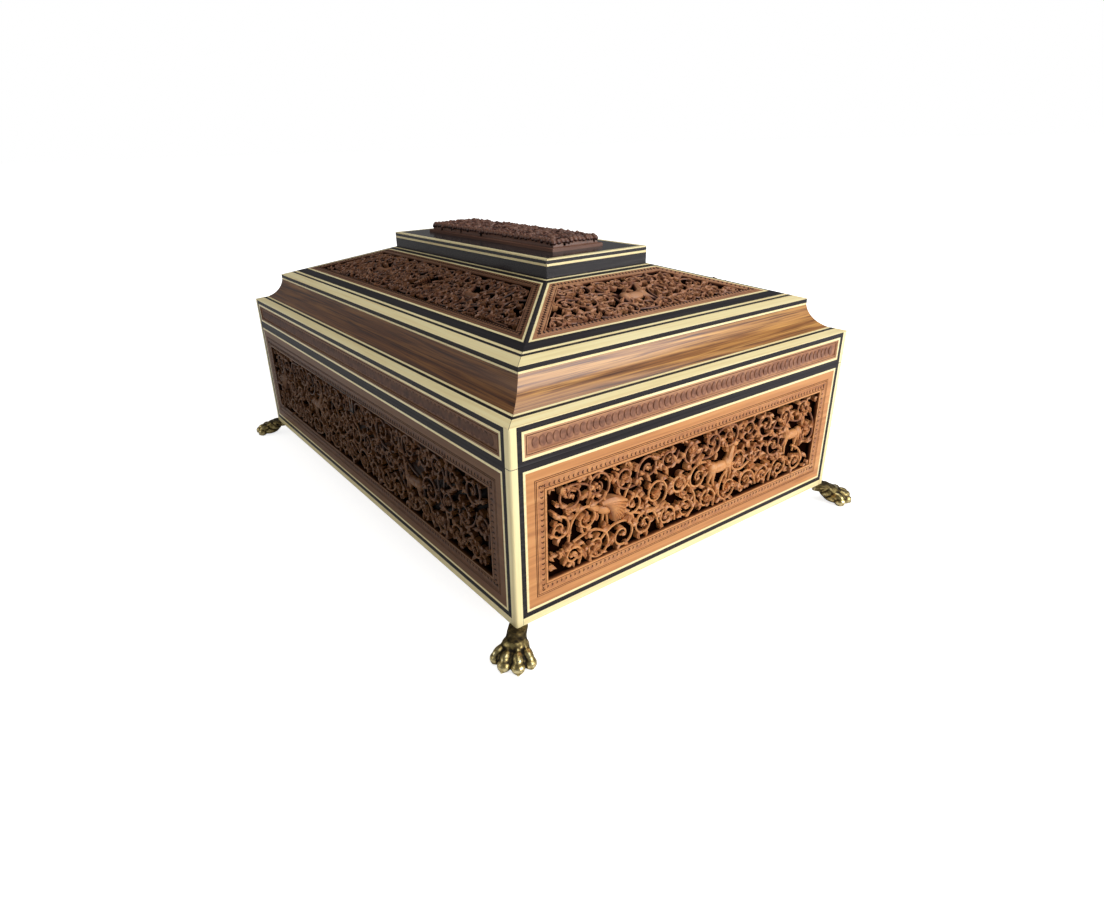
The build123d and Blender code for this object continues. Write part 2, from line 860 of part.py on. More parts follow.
knob = turned_knob()
for name, x in (("left", -cover_x), ("right", cover_x)):
    with BuildPart() as cover:
        with BuildSketch(Plane.XY.offset(cover_bottom)):
            with Locations((x, 0)):
                Rectangle(side_compartment - 2 * cover_gap, inner_depth - 2 * cover_gap)
        extrude(amount=cover_thickness)
    cover.part.label = f"tray_cover_{name}"
    export_step(cover.part, f"parts/tray_cover_{name}.step")
    cover_knob = Location((x, 0, cover_bottom + cover_thickness)) * knob
    cover_knob.label = f"tray_cover_knob_{name}"
    export_step(cover_knob, f"parts/tray_cover_knob_{name}.step")

lift_knobs = Compound(children=[Location((x, 0, divider_top)) * knob for x in (-divider_x, divider_x)])
lift_knobs.label = "tray_lift_knobs"
export_step(lift_knobs, "parts/tray_lift_knobs.step")

# Lid frame: four rails under the stringing, the friezes and the corner posts
rails = []
for side in sides:
    ends = facing if side in ("front", "back") else wall_in
    with BuildPart() as rail:
        with BuildSketch(face_plane(side, facing)):
            with Locations((0, (rim + lid_frame_top) / 2)):
                Rectangle(sides[side][2] - 2 * ends, lid_frame_height)
        extrude(amount=-wall)
        if side == "back":
            cut_leaf_recess(rim)
            for place in case_leaf_screws:
                with Locations(Location(place, screw_up)):
                    add(small_screw_hole, mode=Mode.SUBTRACT)
        if side == "front":
            with Locations((0, selvedge_y, rim + selvedge_thickness / 2)):
                Box(link_plate, selvedge_depth, selvedge_thickness, mode=Mode.SUBTRACT)
            for place in link_screws:
                with Locations(Location(place, screw_up)):
                    add(small_screw_hole, mode=Mode.SUBTRACT)
    rails.append(rail.part)
lid_rails = Compound(children=rails)
lid_rails.label = "lid_rails"
export_step(lid_rails, "parts/lid_rails.step")

lid_posts = corner_posts(rim, lid_frame_top)
lid_posts.label = "lid_corner_posts"
export_step(lid_posts, "parts/lid_corner_posts.step")

lid_ebony_lines = ebony_frames(rim, lid_frame_top, rim)
lid_ebony_lines.label = "lid_ebony_lines"
export_step(lid_ebony_lines, "parts/lid_ebony_lines.step")

lid_bone_lines = bone_frames(rim + ebony_line, lid_frame_top - ebony_line)
lid_bone_lines.label = "lid_bone_lines"
export_step(lid_bone_lines, "parts/lid_bone_lines.step")


def frieze(side):
    """A strip with a row of gouged hollows between plain borders."""
    run = sides[side][2]
    strip_width = run - 2 * line_in
    strip_height = frieze_high - frieze_low
    middle = (frieze_low + frieze_high) / 2
    count = int((strip_width - 4 * frieze_border) // frieze_pitch)
    hollow = strip_height - 2 * frieze_border
    with BuildPart() as strip:
        with BuildSketch(face_plane(side)):
            with Locations((0, middle)):
                Rectangle(strip_width, strip_height)
        extrude(amount=-facing)
        with BuildSketch(face_plane(side)):
            with Locations((0, middle)):
                with GridLocations(frieze_pitch, 0, count, 1):
                    SlotOverall(hollow, gouge_width, rotation=gouge_tilt)
        extrude(amount=-frieze_depth, mode=Mode.SUBTRACT)
    return strip.part


for side in sides:
    strip = frieze(side)
    strip.label = f"lid_frieze_{side}"
    export_step(strip, f"parts/lid_frieze_{side}.step")

# Mouldings that step in from the frame to the cove
edge_moulding = ring(
    [
        (0, lid_frame_top),
        (0, lid_frame_top + moulding_lip),
        (moulding_in, moulding_top),
        (moulding_in, lid_frame_top),
    ]
)
edge_moulding.label = "lid_edge_moulding"
export_step(edge_moulding, "parts/lid_edge_moulding.step")

ebony_in = moulding_in + lower_ebony
cove_lower_ebony = ring(
    [
        (moulding_in, lid_frame_top),
        (moulding_in, moulding_top),
        (ebony_in, moulding_top + lower_rise),
        (ebony_in, lid_frame_top),
    ]
)
cove_lower_bone = ring(
    [
        (ebony_in, lid_frame_top),
        (ebony_in, moulding_top + lower_rise),
        (cove_start_in, cove_start),
        (cove_start_in, lid_frame_top),
    ]
)
cove_profile = [
    (cove_start_in, lid_frame_top),
    (cove_start_in, cove_start),
    (cove_in, cove_top),
    (band_in, cove_top),
    (band_in, lid_frame_top),
]
cove_belly = (cove_start_in + cove_belly_in, cove_start + cove_belly_rise)
lid_coves = ring(cove_profile, cove_belly)
lid_coves.label = "lid_coves"
export_step(lid_coves, "parts/lid_coves.step")

cove_upper_bone = ring(
    [
        (cove_in, cove_top),
        (cove_in, upper_bone_top),
        (band_in, upper_bone_top),
        (band_in, cove_top),
    ]
)
cove_upper_ebony = ring(
    [
        (cove_in, upper_bone_top),
        (cove_in, shoulder),
        (band_in, shoulder),
        (band_in, upper_bone_top),
    ]
)

shoulder_band = ring(
    [
        (cove_in, shoulder),
        (cove_in, shoulder + band_lip),
        (band_in, slope_z(band_in)),
        (band_in, shoulder),
    ]
)
shoulder_band.label = "shoulder_band"
export_step(shoulder_band, "parts/shoulder_band.step")

# Sloping top: hipped core boards, stringing and carved panels
line_1 = band_in + slope_line_ebony
line_2 = line_1 + slope_line_bone
line_3 = line_2 + slope_wide_ebony
line_4 = line_3 + slope_inner_bone
line_8 = plinth_in - under_ebony
line_7 = line_8 - under_bone
line_6 = line_7 - top_ebony
line_5 = line_6 - top_bone
panel_clear = hip_ebony + hip_bone

slope_core = ring(
    [
        (band_in, slope_z(band_in) - core_depth),
        (band_in, slope_z(band_in) - slope_layer),
        (plinth_in, core_top),
        (plinth_in + core_bearing, core_top),
        (plinth_in + core_bearing, core_top - core_thickness),
        (plinth_in, core_top - core_thickness),
    ]
)
slope_core.label = "slope_boards"
export_step(slope_core, "parts/slope_boards.step")

top_ebony_strips = cove_lower_ebony.solids() + cove_upper_ebony.solids()
top_bone_strips = cove_lower_bone.solids() + cove_upper_bone.solids()
for side in sides:
    top_ebony_strips.append(slope_strip(side, band_in, line_1))
    top_bone_strips.append(slope_strip(side, line_1, line_2))
    top_ebony_strips.append(hipped_plate(side, line_2, line_7, 0, (line_3, line_6, hip_ebony)))
    top_bone_strips.append(hipped_plate(side, line_3, line_6, hip_ebony, (line_4, line_5, panel_clear)))
    top_bone_strips.append(slope_strip(side, line_7, line_8))
    top_ebony_strips.append(slope_strip(side, line_8, plinth_in))
top_ebony_lines = Compound(children=top_ebony_strips)
top_ebony_lines.label = "top_ebony_lines"
export_step(top_ebony_lines, "parts/top_ebony_lines.step")
top_bone_lines = Compound(children=top_bone_strips)
top_bone_lines.label = "top_bone_lines"
export_step(top_bone_lines, "parts/top_bone_lines.step")


def slope_panel(side):
    """A carved trapezoid: border, sunk ground and lozenges left on it."""
    run = sides[side][2]
    low = line_4 + slope_border
    high = line_5 - slope_border
    clear = panel_clear + slope_border
    middle = (low + high) / 2
    count = int((run - 2 * middle - 2 * clear) // lozenge_pitch)
    ground = slope_z(0) - slope_carving_depth
    with BuildPart() as cutter:
        with BuildSketch(plan_plane(side)):
            Polygon(*trapezoid(run, low, high, clear), align=None)
            with Locations((0, middle)):
                with GridLocations(lozenge_pitch, 0, count, 1):
                    RegularPolygon(lozenge_half, 4, mode=Mode.SUBTRACT)
        extrude(amount=over_all)
        with BuildSketch(section_plane(side)):
            with BuildLine():
                Polyline(
                    (0, ground),
                    (width / 2, ground + slope * width / 2),
                    (width / 2, over_all),
                    (0, over_all),
                    close=True,
                )
            make_face()
        extrude(amount=run / 2, both=True, mode=Mode.INTERSECT)
    with BuildPart() as panel:
        add(hipped_plate(side, line_4, line_5, panel_clear))
        add(cutter.part, mode=Mode.SUBTRACT)
    return panel.part


for side in sides:
    panel = slope_panel(side)
    panel.label = f"slope_panel_{side}"
    export_step(panel, f"parts/slope_panel_{side}.step")

# Plinth with its inlaid line and top edging
line_high = plinth_top - plinth_line_below_top
line_low = line_high - plinth_line_height
plinth_length = length - 2 * plinth_in
with BuildPart() as plinth:
    with BuildSketch(Plane.XY.offset(core_top)):
        Rectangle(plinth_length, plinth_width)
    extrude(amount=plinth_top - core_top)
    with BuildSketch(Plane.XY.offset(line_low)):
        Rectangle(plinth_length, plinth_width)
        Rectangle(
            plinth_length - 2 * plinth_line_depth,
            plinth_width - 2 * plinth_line_depth,
            mode=Mode.SUBTRACT,
        )
    extrude(amount=plinth_line_height, mode=Mode.SUBTRACT)
    with BuildSketch(Plane.XY.offset(plinth_top - plinth_edging_thickness)):
        Rectangle(plinth_length, plinth_width)
        Rectangle(
            plinth_length - 2 * plinth_edging,
            plinth_width - 2 * plinth_edging,
            mode=Mode.SUBTRACT,
        )
    extrude(amount=plinth_edging_thickness, mode=Mode.SUBTRACT)
plinth.part.label = "plinth"
export_step(plinth.part, "parts/plinth.step")

plinth_line = ring(
    [
        (plinth_in, line_low),
        (plinth_in, line_high),
        (plinth_in + plinth_line_depth, line_high),
        (plinth_in + plinth_line_depth, line_low),
    ]
)
plinth_edge = ring(
    [
        (plinth_in, plinth_top - plinth_edging_thickness),
        (plinth_in, plinth_top),
        (plinth_in + plinth_edging, plinth_top),
        (plinth_in + plinth_edging, plinth_top - plinth_edging_thickness),
    ]
)
plinth_bone_lines = Compound(children=plinth_line.solids() + plinth_edge.solids())
plinth_bone_lines.label = "plinth_bone_lines"
export_step(plinth_bone_lines, "parts/plinth_bone_lines.step")

# Carved plaque: a thin base and a crowned body
plaque_length = length - 2 * plaque_in
with BuildPart() as plaque:
    with BuildSketch(Plane.XY.offset(plinth_top)):
        Rectangle(plaque_length, plaque_width)
    extrude(amount=plaque_base)
    body_low = plinth_top + plaque_base
    with BuildSketch(Plane.XY.offset(body_low)):
        RectangleRounded(plaque_length - 2 * plaque_step, plaque_width - 2 * plaque_step, plaque_step)
    with BuildSketch(Plane.XY.offset(body_low + plaque_belly)):
        belly_in = plaque_step + plaque_belly_in
        RectangleRounded(plaque_length - 2 * belly_in, plaque_width - 2 * belly_in, plaque_step)
    with BuildSketch(Plane.XY.offset(plaque_top)):
        RectangleRounded(
            plaque_length - 2 * (plaque_step + plaque_top_in),
            plaque_width - 2 * (plaque_step + plaque_top_in),
            plaque_step,
        )
    loft(ruled=True)
plaque.part.label = "plaque"
export_step(plaque.part, "parts/plaque.step")

# Mirror under the lid: back board inside the coves, glass and its frame
with BuildPart() as mirror_board:
    with BuildSketch(Plane.XY.offset(lid_frame_top)):
        Rectangle(length - 2 * band_in, width - 2 * band_in)
    extrude(amount=mirror_back)
mirror_board.part.label = "mirror_back_board"
export_step(mirror_board.part, "parts/mirror_back_board.step")

glass_low = lid_frame_top - mirror_thickness
frame_low = glass_low - mirror_lip_thickness
rebate_in = mirror_frame_in - mirror_lip
with BuildPart() as mirror:
    with BuildSketch(Plane.XY.offset(glass_low)):
        Rectangle(length - 2 * (rebate_in + glass_gap), width - 2 * (rebate_in + glass_gap))
    extrude(amount=mirror_thickness)
mirror.part.label = "lid_mirror"
export_step(mirror.part, "parts/lid_mirror.step")

mirror_frame = ring(
    [
        (wall_in, frame_low),
        (wall_in, lid_frame_top),
        (rebate_in, lid_frame_top),
        (rebate_in, glass_low),
        (mirror_frame_in, glass_low),
        (mirror_frame_in, frame_low),
    ]
)
mirror_frame.label = "mirror_frame"
export_step(mirror_frame, "parts/mirror_frame.step")
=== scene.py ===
import math
import random

import bmesh
import bpy
from mathutils import Matrix, Vector


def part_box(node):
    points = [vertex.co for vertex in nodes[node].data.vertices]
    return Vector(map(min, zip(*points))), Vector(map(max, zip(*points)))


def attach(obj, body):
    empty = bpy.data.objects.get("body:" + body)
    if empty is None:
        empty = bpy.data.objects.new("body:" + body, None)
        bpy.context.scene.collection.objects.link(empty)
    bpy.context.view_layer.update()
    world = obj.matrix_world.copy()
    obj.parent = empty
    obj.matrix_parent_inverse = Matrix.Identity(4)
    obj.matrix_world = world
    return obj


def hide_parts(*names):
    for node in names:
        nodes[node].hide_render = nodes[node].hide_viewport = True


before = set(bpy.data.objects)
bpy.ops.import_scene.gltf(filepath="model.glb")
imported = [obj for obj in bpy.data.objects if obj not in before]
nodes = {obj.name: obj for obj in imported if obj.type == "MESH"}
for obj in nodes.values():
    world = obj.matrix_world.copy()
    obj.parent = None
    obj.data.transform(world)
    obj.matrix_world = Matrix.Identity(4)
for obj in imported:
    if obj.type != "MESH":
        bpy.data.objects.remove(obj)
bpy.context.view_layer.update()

# Carcase boards. Plain oiled hardwood, sawn with the grain along each board and glued
# at the corners: walls, bottom, lid rails, bearers, and the boards under the sloping
# top and behind the mirror. They show only inside the open box and from below.
mm = 0.001
half_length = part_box("lid_edge_moulding")[1].x
half_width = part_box("lid_edge_moulding")[1].y


def start_material(name, roughness):
    """A new material with its principled shader's roughness set."""
    material = bpy.data.materials.new(name)
    material.use_nodes = True
    shader = material.node_tree.nodes["Principled BSDF"]
    shader.inputs["Roughness"].default_value = roughness
    return material, material.node_tree, shader


def put(tree, kind, inputs=(), **settings):
    """A node with its settings, and its inputs given as values or sockets."""
    made = tree.nodes.new(kind)
    for key, value in settings.items():
        setattr(made, key, value)
    for key, value in dict(inputs).items():
        if isinstance(value, bpy.types.NodeSocket):
            tree.links.new(value, made.inputs[key])
        else:
            made.inputs[key].default_value = value
    return made


def math_node(tree, operation, first, second=0.0):
    """The result of one sum on two values or sockets."""
    return put(tree, "ShaderNodeMath", {0: first, 1: second}, operation=operation).outputs[0]


def in_box(tree):
    """The place in the box, in metres."""
    return put(tree, "ShaderNodeTexCoord").outputs["Object"]


def noise(tree, place, scale, detail):
    """Even noise, in features per metre."""
    inputs = {"Vector": place, "Scale": scale, "Detail": detail}
    return put(tree, "ShaderNodeTexNoise", inputs).outputs["Fac"]


def ramp(tree, fraction, stops):
    """A colour ramp through (place, colour) stops."""
    made = put(tree, "ShaderNodeValToRGB", {"Fac": fraction})
    made.color_ramp.elements[0].position = stops[0][0]
    made.color_ramp.elements[0].color = (*stops[0][1], 1)
    made.color_ramp.elements[1].position = stops[-1][0]
    made.color_ramp.elements[1].color = (*stops[-1][1], 1)
    for place, colour in stops[1:-1]:
        made.color_ramp.elements.new(place).color = (*colour, 1)
    return made.outputs["Color"]


def from_edges(tree):
    """The place in the box, and how far it lies in from the ends and from the sides."""
    parts = put(tree, "ShaderNodeSeparateXYZ", {0: in_box(tree)})
    to_end = math_node(tree, "SUBTRACT", half_length, math_node(tree, "ABSOLUTE", parts.outputs["X"]))
    to_side = math_node(tree, "SUBTRACT", half_width, math_node(tree, "ABSOLUTE", parts.outputs["Y"]))
    return parts, to_end, to_side


def along_side(tree):
    """Coordinates with x along whichever side of the box is nearest."""
    parts, to_end, to_side = from_edges(tree)
    long_side = math_node(tree, "LESS_THAN", to_side, to_end)
    along = put(tree, "ShaderNodeMix", {0: long_side, 2: parts.outputs["Y"], 3: parts.outputs["X"]})
    across = put(tree, "ShaderNodeMix", {0: long_side, 2: parts.outputs["X"], 3: parts.outputs["Y"]})
    inputs = {"X": along.outputs[0], "Y": across.outputs[0], "Z": parts.outputs["Z"]}
    return put(tree, "ShaderNodeCombineXYZ", inputs).outputs[0]


def streaks(tree, place, along, across, detail=6.0, bend=0.0):
    """Noise drawn out along the grain, in features per metre."""
    stretched = put(tree, "ShaderNodeMapping", {"Vector": place, "Scale": (along, across, across)})
    inputs = {"Vector": stretched.outputs[0], "Scale": 1.0, "Detail": detail, "Distortion": bend}
    return put(tree, "ShaderNodeTexNoise", inputs).outputs["Fac"]


def blend(tree, fraction, first, second, kind="MIX"):
    """Two colours mixed, or the first multiplied by the second."""
    inputs = {0: fraction, 6: first, 7: second}
    return put(tree, "ShaderNodeMix", inputs, data_type="RGBA", blend_type=kind).outputs[2]


def paint_long_side_shade(tree, colour, shade):
    """A colour darkened by painted shade on the front and back of the box."""
    _, to_end, to_side = from_edges(tree)
    return blend(tree, math_node(tree, "LESS_THAN", to_side, to_end), colour, (*shade, 1), "MULTIPLY")


def bumped(tree, shader, height, distance, strength):
    """Fine relief on the shader's normal."""
    inputs = {"Height": height, "Distance": distance, "Strength": strength}
    made = put(tree, "ShaderNodeBump", inputs)
    tree.links.new(made.outputs[0], shader.inputs["Normal"])


def plain_wood(name, stops, roughness, framed):
    """Wood with dark pores, its grain along the box or, framed, along each side."""
    material, tree, shader = start_material(name, roughness)
    place = along_side(tree) if framed else in_box(tree)
    grain = streaks(tree, place, along=9.0, across=260.0, bend=0.6)
    pores = streaks(tree, place, along=60.0, across=2600.0, detail=2.0)
    tree.links.new(ramp(tree, grain, stops), shader.inputs["Base Color"])
    bumped(tree, shader, pores, distance=0.08 * mm, strength=0.35)
    return material


def dress(material, *names):
    """Give CAD nodes one material."""
    for name in names:
        mesh = nodes[name].data
        mesh.materials.clear()
        mesh.materials.append(material)


board_stops = [(0.3, (0.16, 0.075, 0.032)), (0.5, (0.29, 0.15, 0.07)), (0.72, (0.39, 0.22, 0.11))]
frame_wood = plain_wood("frame_wood", board_stops, roughness=0.6, framed=True)
dress(frame_wood, "case_wall_front", "case_wall_back", "case_wall_left", "case_wall_right")
dress(frame_wood, "tray_bearers", "lid_rails", "slope_boards")
board_wood = plain_wood("board_wood", board_stops, roughness=0.6, framed=False)
dress(board_wood, "bottom_board", "mirror_back_board")

# Bone. Sawn and polished strips, cream with faint long streaks: corner posts, edgings
# and lines glued in before the faces were scraped level, and the tray's turned knobs.
# Dirt has settled in the mitres, beside the posts and where the lid parts from the case.
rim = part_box("case_corner_posts")[1].z
seam_half = 0.13 * mm
post_width = 3.3 * mm


def seam(tree, distance):
    """One inside a thin joint and nought elsewhere, from a signed distance."""
    return math_node(tree, "LESS_THAN", math_node(tree, "ABSOLUTE", distance), seam_half)


def bone_strip(name, joint):
    """Cream bone with dark joints at the mitres, at the posts or where the lid parts."""
    material, tree, shader = start_material(name, roughness=0.3)
    parts, to_end, to_side = from_edges(tree)
    place = along_side(tree)
    if joint == "mitre":
        gap = math_node(tree, "SUBTRACT", to_end, to_side)
    elif joint == "post":
        gap = math_node(tree, "SUBTRACT", math_node(tree, "MAXIMUM", to_end, to_side), post_width)
    else:
        gap = math_node(tree, "SUBTRACT", parts.outputs["Z"], rim)
        upright = {"X": parts.outputs["Z"], "Y": parts.outputs["X"], "Z": parts.outputs["Y"]}
        place = put(tree, "ShaderNodeCombineXYZ", upright).outputs[0]
    tone = streaks(tree, place, along=22.0, across=700.0, detail=4.0)
    stops = [(0.25, (0.83, 0.66, 0.32)), (0.5, (0.93, 0.79, 0.42)), (0.8, (0.96, 0.86, 0.52))]
    dirt = (0.05, 0.035, 0.02, 1)
    colour = blend(tree, seam(tree, gap), ramp(tree, tone, stops), dirt)
    tree.links.new(colour, shader.inputs["Base Color"])
    pores = streaks(tree, place, along=300.0, across=3000.0, detail=1.0)
    bumped(tree, shader, pores, distance=0.03 * mm, strength=0.3)
    shader.inputs["Coat Weight"].default_value = 0.2
    shader.inputs["Coat Roughness"].default_value = 0.15
    return material


dress(bone_strip("bone_posts", "rim"), "case_corner_posts", "lid_corner_posts")
dress(bone_strip("bone_edging", "post"), "case_bottom_edging")
bone = bone_strip("bone", "mitre")
dress(bone, "case_bone_lines", "lid_bone_lines", "lid_edge_moulding", "shoulder_band", "top_bone_lines")
dress(bone, "plinth_bone_lines", "tray_cover_knob_left", "tray_cover_knob_right", "tray_lift_knobs")

# Ebony. Black stringing, the polished block of the plinth and the mirror's frame, sawn
# from solid stock, with a faint grey bloom along the grain where the polish has worn.


def ebony_wood(name, roughness, coat):
    """Near black wood with a faint grey grain."""
    material, tree, shader = start_material(name, roughness)
    place = along_side(tree)
    tone = streaks(tree, place, along=14.0, across=900.0, detail=5.0)
    stops = [(0.3, (0.008, 0.007, 0.009)), (0.55, (0.018, 0.015, 0.017)), (0.8, (0.036, 0.032, 0.035))]
    height = put(tree, "ShaderNodeSeparateXYZ", {0: place}).outputs["Z"]
    parting = seam(tree, math_node(tree, "SUBTRACT", height, rim))
    dirt = (0.001, 0.001, 0.001, 1)
    tree.links.new(blend(tree, parting, ramp(tree, tone, stops), dirt), shader.inputs["Base Color"])
    shader.inputs["Specular IOR Level"].default_value = 0.2
    pores = streaks(tree, place, along=90.0, across=3200.0, detail=2.0)
    bumped(tree, shader, pores, distance=0.03 * mm, strength=0.3)
    shader.inputs["Coat Weight"].default_value = coat
    shader.inputs["Coat Roughness"].default_value = 0.12
    return material


ebony = ebony_wood("ebony", roughness=0.42, coat=0.0)
dress(ebony, "case_ebony_lines", "lid_ebony_lines", "top_ebony_lines")
dress(ebony_wood("ebony_polished", roughness=0.25, coat=0.3), "plinth", "mirror_frame")

# Carved case panels. A sandalwood board is let into each face: a border with scribed
# lines and stamped crescents, round a field cut back to a ground made dark by painted
# shade, leaving scrolling leaves, a heron and deer, and in front a hanging tongue with the keyhole.

# Sizes are in millimetres on the face; painted shade runs from 0, bare wood, to 1, black.
panel_thickness = 5.0
border = 3.9
scribe_gap = 0.3
scribe_width = 0.2
scribe_depth = 0.28
# Painted shade in the scribed lines and on the sunk band of stamps.
scribe_painted_shade = 0.62
band_edge = 0.1
band_sink = 0.12
band_painted_shade = 0.08
band_width = 2.5
stamp_pitch = 2.35
stamp_size = 1.8
stamp_sink = 0.05
field_border = 0.9
wall_lean = 0.03
carving_depth = 3.0
stem_radius = 0.62
leaf_length = 4.5
scroll_pitch = 13.8
gap_cell = 1.5
whole_turn = 6.28
keyhole_drop = 14.0
keyhole_height = rim / mm - keyhole_drop
keyhole_radius = 1.4
keyhole_slot = 1.3
keyhole_length = 4.4
keyhole_reach = 14.0
tongue_half = 2.2
tongue_root = 9.0
tongue_low = keyhole_height - keyhole_length - 2 * keyhole_radius
# For each side: the way along it, the way out of it, and how far out its face stands.
faces = {
    "front": ((1, 0, 0), (0, -1, 0), half_width),
    "back": ((-1, 0, 0), (0, 1, 0), half_width),
    "left": ((0, -1, 0), (-1, 0, 0), half_length),
    "right": ((0, 1, 0), (1, 0, 0), half_length),
}


def sandalwood(name, tones, roughness, long_side_painted_shade):
    """Oiled sandalwood, darkened by painted shade where the carving is sunk and on the long sides."""
    material, tree, shader = start_material(name, roughness)
    place = along_side(tree)
    grain = streaks(tree, place, along=12.0, across=330.0, bend=0.8)
    sunk = put(tree, "ShaderNodeAttribute", attribute_name="sunk").outputs["Fac"]
    cloud = noise(tree, place, scale=380.0, detail=3.0)
    patchy = math_node(tree, "MULTIPLY", math_node(tree, "SUBTRACT", cloud, 0.5), 0.35)
    is_sunk = math_node(tree, "GREATER_THAN", sunk, 0.01)
    depth = math_node(tree, "ADD", sunk, math_node(tree, "MULTIPLY", patchy, is_sunk))
    face_stops = [(0.3, tones[1]), (0.5, tones[0]), (0.72, tones[2])]
    # Painted shade: the deeper the carving, the darker, down to near black on the ground.
    painted_shade_stops = [
        (0.0, (1, 1, 1)),
        (0.13, (0.68, 0.62, 0.72)),
        (0.32, (0.22, 0.16, 0.20)),
        (0.75, (0.010, 0.006, 0.008)),
    ]
    stained = blend(tree, 1.0, ramp(tree, grain, face_stops), ramp(tree, depth, painted_shade_stops), "MULTIPLY")
    shaded = paint_long_side_shade(tree, stained, long_side_painted_shade)
    tree.links.new(shaded, shader.inputs["Base Color"])
    sheen = math_node(tree, "MULTIPLY", math_node(tree, "SUBTRACT", 1.0, sunk), 0.4)
    tree.links.new(sheen, shader.inputs["Specular IOR Level"])
    pores = streaks(tree, place, along=90.0, across=2400.0, detail=2.0)
    bumped(tree, shader, pores, distance=0.05 * mm, strength=0.4)
    return material


carved_tones = ((0.59, 0.255, 0.085), (0.45, 0.18, 0.06), (0.66, 0.32, 0.12))
# Painted shade on the front and back panels.
carved_painted_shade = (0.26, 0.24, 0.20)
carved_wood = sandalwood("carved_sandalwood", carved_tones, 0.4, carved_painted_shade)


def half_along(side, high):
    """Half the length of a side's board, in millimetres, from the top corner of its box."""
    along = faces[side][0]
    return max(high[axis] for axis in (0, 1) if abs(along[axis]) > 0) / mm


def upright_face(side):
    """Matrix from a face's millimetres, with y up from the floor and z outwards."""
    along, out, distance = faces[side]
    turned = Matrix((along, (0, 0, 1), out)).transposed().to_4x4()
    return Matrix.Translation(Vector(out) * distance) @ turned @ Matrix.Scale(mm, 4)


def place_at(x, y, z, turn, size, tilt=0.0):
    """Matrix that puts a unit shape on a face, turned in its plane."""
    turned = Matrix.Rotation(turn, 4, "Z") @ Matrix.Rotation(-tilt, 4, "Y")
    return Matrix.Translation((x, y, z)) @ turned @ Matrix.Scale(size, 4)


def as_mesh(bm, name):
    """A mesh of that name from a bmesh, which is freed."""
    mesh = bpy.data.meshes.new(name)
    bm.to_mesh(mesh)
    bm.free()
    return mesh


def leaf_lobe(curl, hollow, plump=0.235, painted_shade_level=0.0):
    """One lobe of a leaf, a unit long, gouged hollow and curling to one side."""
    thickness = 0.7
    tip_rise = 0.12
    bm = bmesh.new()
    sunk = bm.verts.layers.float.new("sunk")
    bmesh.ops.create_grid(bm, x_segments=4, y_segments=2, size=0.5)
    for vert in bm.verts:
        along = vert.co.x + 0.5
        across = 2 * vert.co.y
        half = plump * math.sin(math.pi * (0.08 + 0.86 * along) ** 0.85) + 0.02
        turn = curl * along
        middle = Vector((math.sin(turn) / curl, (1 - math.cos(turn)) / curl, 0))
        sideways = Vector((-math.sin(turn), math.cos(turn), 0)) * half * across
        vert.co = middle + sideways + Vector((0, 0, hollow * (across * across - 1) + tip_rise * along))
        # Painted shade: darker down the middle of a cupped lobe and towards the sides of a domed one.
        vert[sunk] = painted_shade_level + (0.17 * (1 - across * across) if hollow > 0 else 0.12 * across * across)
    extruded = bmesh.ops.extrude_face_region(bm, geom=bm.faces[:])["geom"]
    raised = {item for item in extruded if isinstance(item, bmesh.types.BMVert)}
    lowered = [vert for vert in bm.verts if vert not in raised]
    bmesh.ops.translate(bm, verts=lowered, vec=(0, 0, -thickness))
    bmesh.ops.recalc_face_normals(bm, faces=bm.faces)
    return as_mesh(bm, "lobe")


lobes = [leaf_lobe(curl, hollow) for curl in (-2.3, -1.2, 1.2, 2.3) for hollow in (0.16, -0.14)]
feather = leaf_lobe(curl=0.35, hollow=-0.08, plump=0.11)
# The stamped crescents start with a level of painted shade.
crescent = leaf_lobe(curl=2.7, hollow=0.0, plump=0.11, painted_shade_level=0.42)
petal = leaf_lobe(curl=0.2, hollow=0.3, plump=0.36)


def carve(bm, shape, place):
    """Add a copy of a small shape to the carving."""
    copy = shape.copy()
    copy.transform(place)
    bm.from_mesh(copy)
    bpy.data.meshes.remove(copy)


def ball(bm, middle, radii, turn=0.0, detail=2):
    """A rounded lump, its three radii turned in the face's plane."""
    place = Matrix.Translation(middle) @ Matrix.Rotation(turn, 4, "Z") @ Matrix.Diagonal((*radii, 1))
    bmesh.ops.create_icosphere(bm, subdivisions=detail, radius=1, matrix=place)


def limb(bm, start, end, thick, thin):
    """A tapered round bar from one point to another."""
    start, end = Vector(start), Vector(end)
    turned = (end - start).to_track_quat("Z", "Y").to_matrix().to_4x4()
    place = Matrix.Translation((start + end) / 2) @ turned
    bmesh.ops.create_cone(
        bm, cap_ends=True, segments=8, radius1=thick, radius2=thin, depth=(end - start).length, matrix=place
    )


def stems_mesh(stems, mesh_name):
    """Round stems through lists of (x, y, z, radius), as one mesh."""
    curve = bpy.data.curves.new(mesh_name, "CURVE")
    curve.dimensions = "3D"
    curve.bevel_depth = 1.0
    curve.bevel_resolution = 1
    curve.resolution_u = 3
    curve.use_fill_caps = True
    for stem in stems:
        spline = curve.splines.new("NURBS")
        spline.points.add(len(stem) - 1)
        for point, (x, y, z, radius) in zip(spline.points, stem):
            point.co = (x, y, z, 1)
            point.radius = radius
        spline.order_u = 3
        spline.use_endpoint_u = True
    holder = bpy.data.objects.new(mesh_name, curve)
    mesh = bpy.data.meshes.new_from_object(holder)
    bpy.data.objects.remove(holder)
    bpy.data.curves.remove(curve)
    return mesh


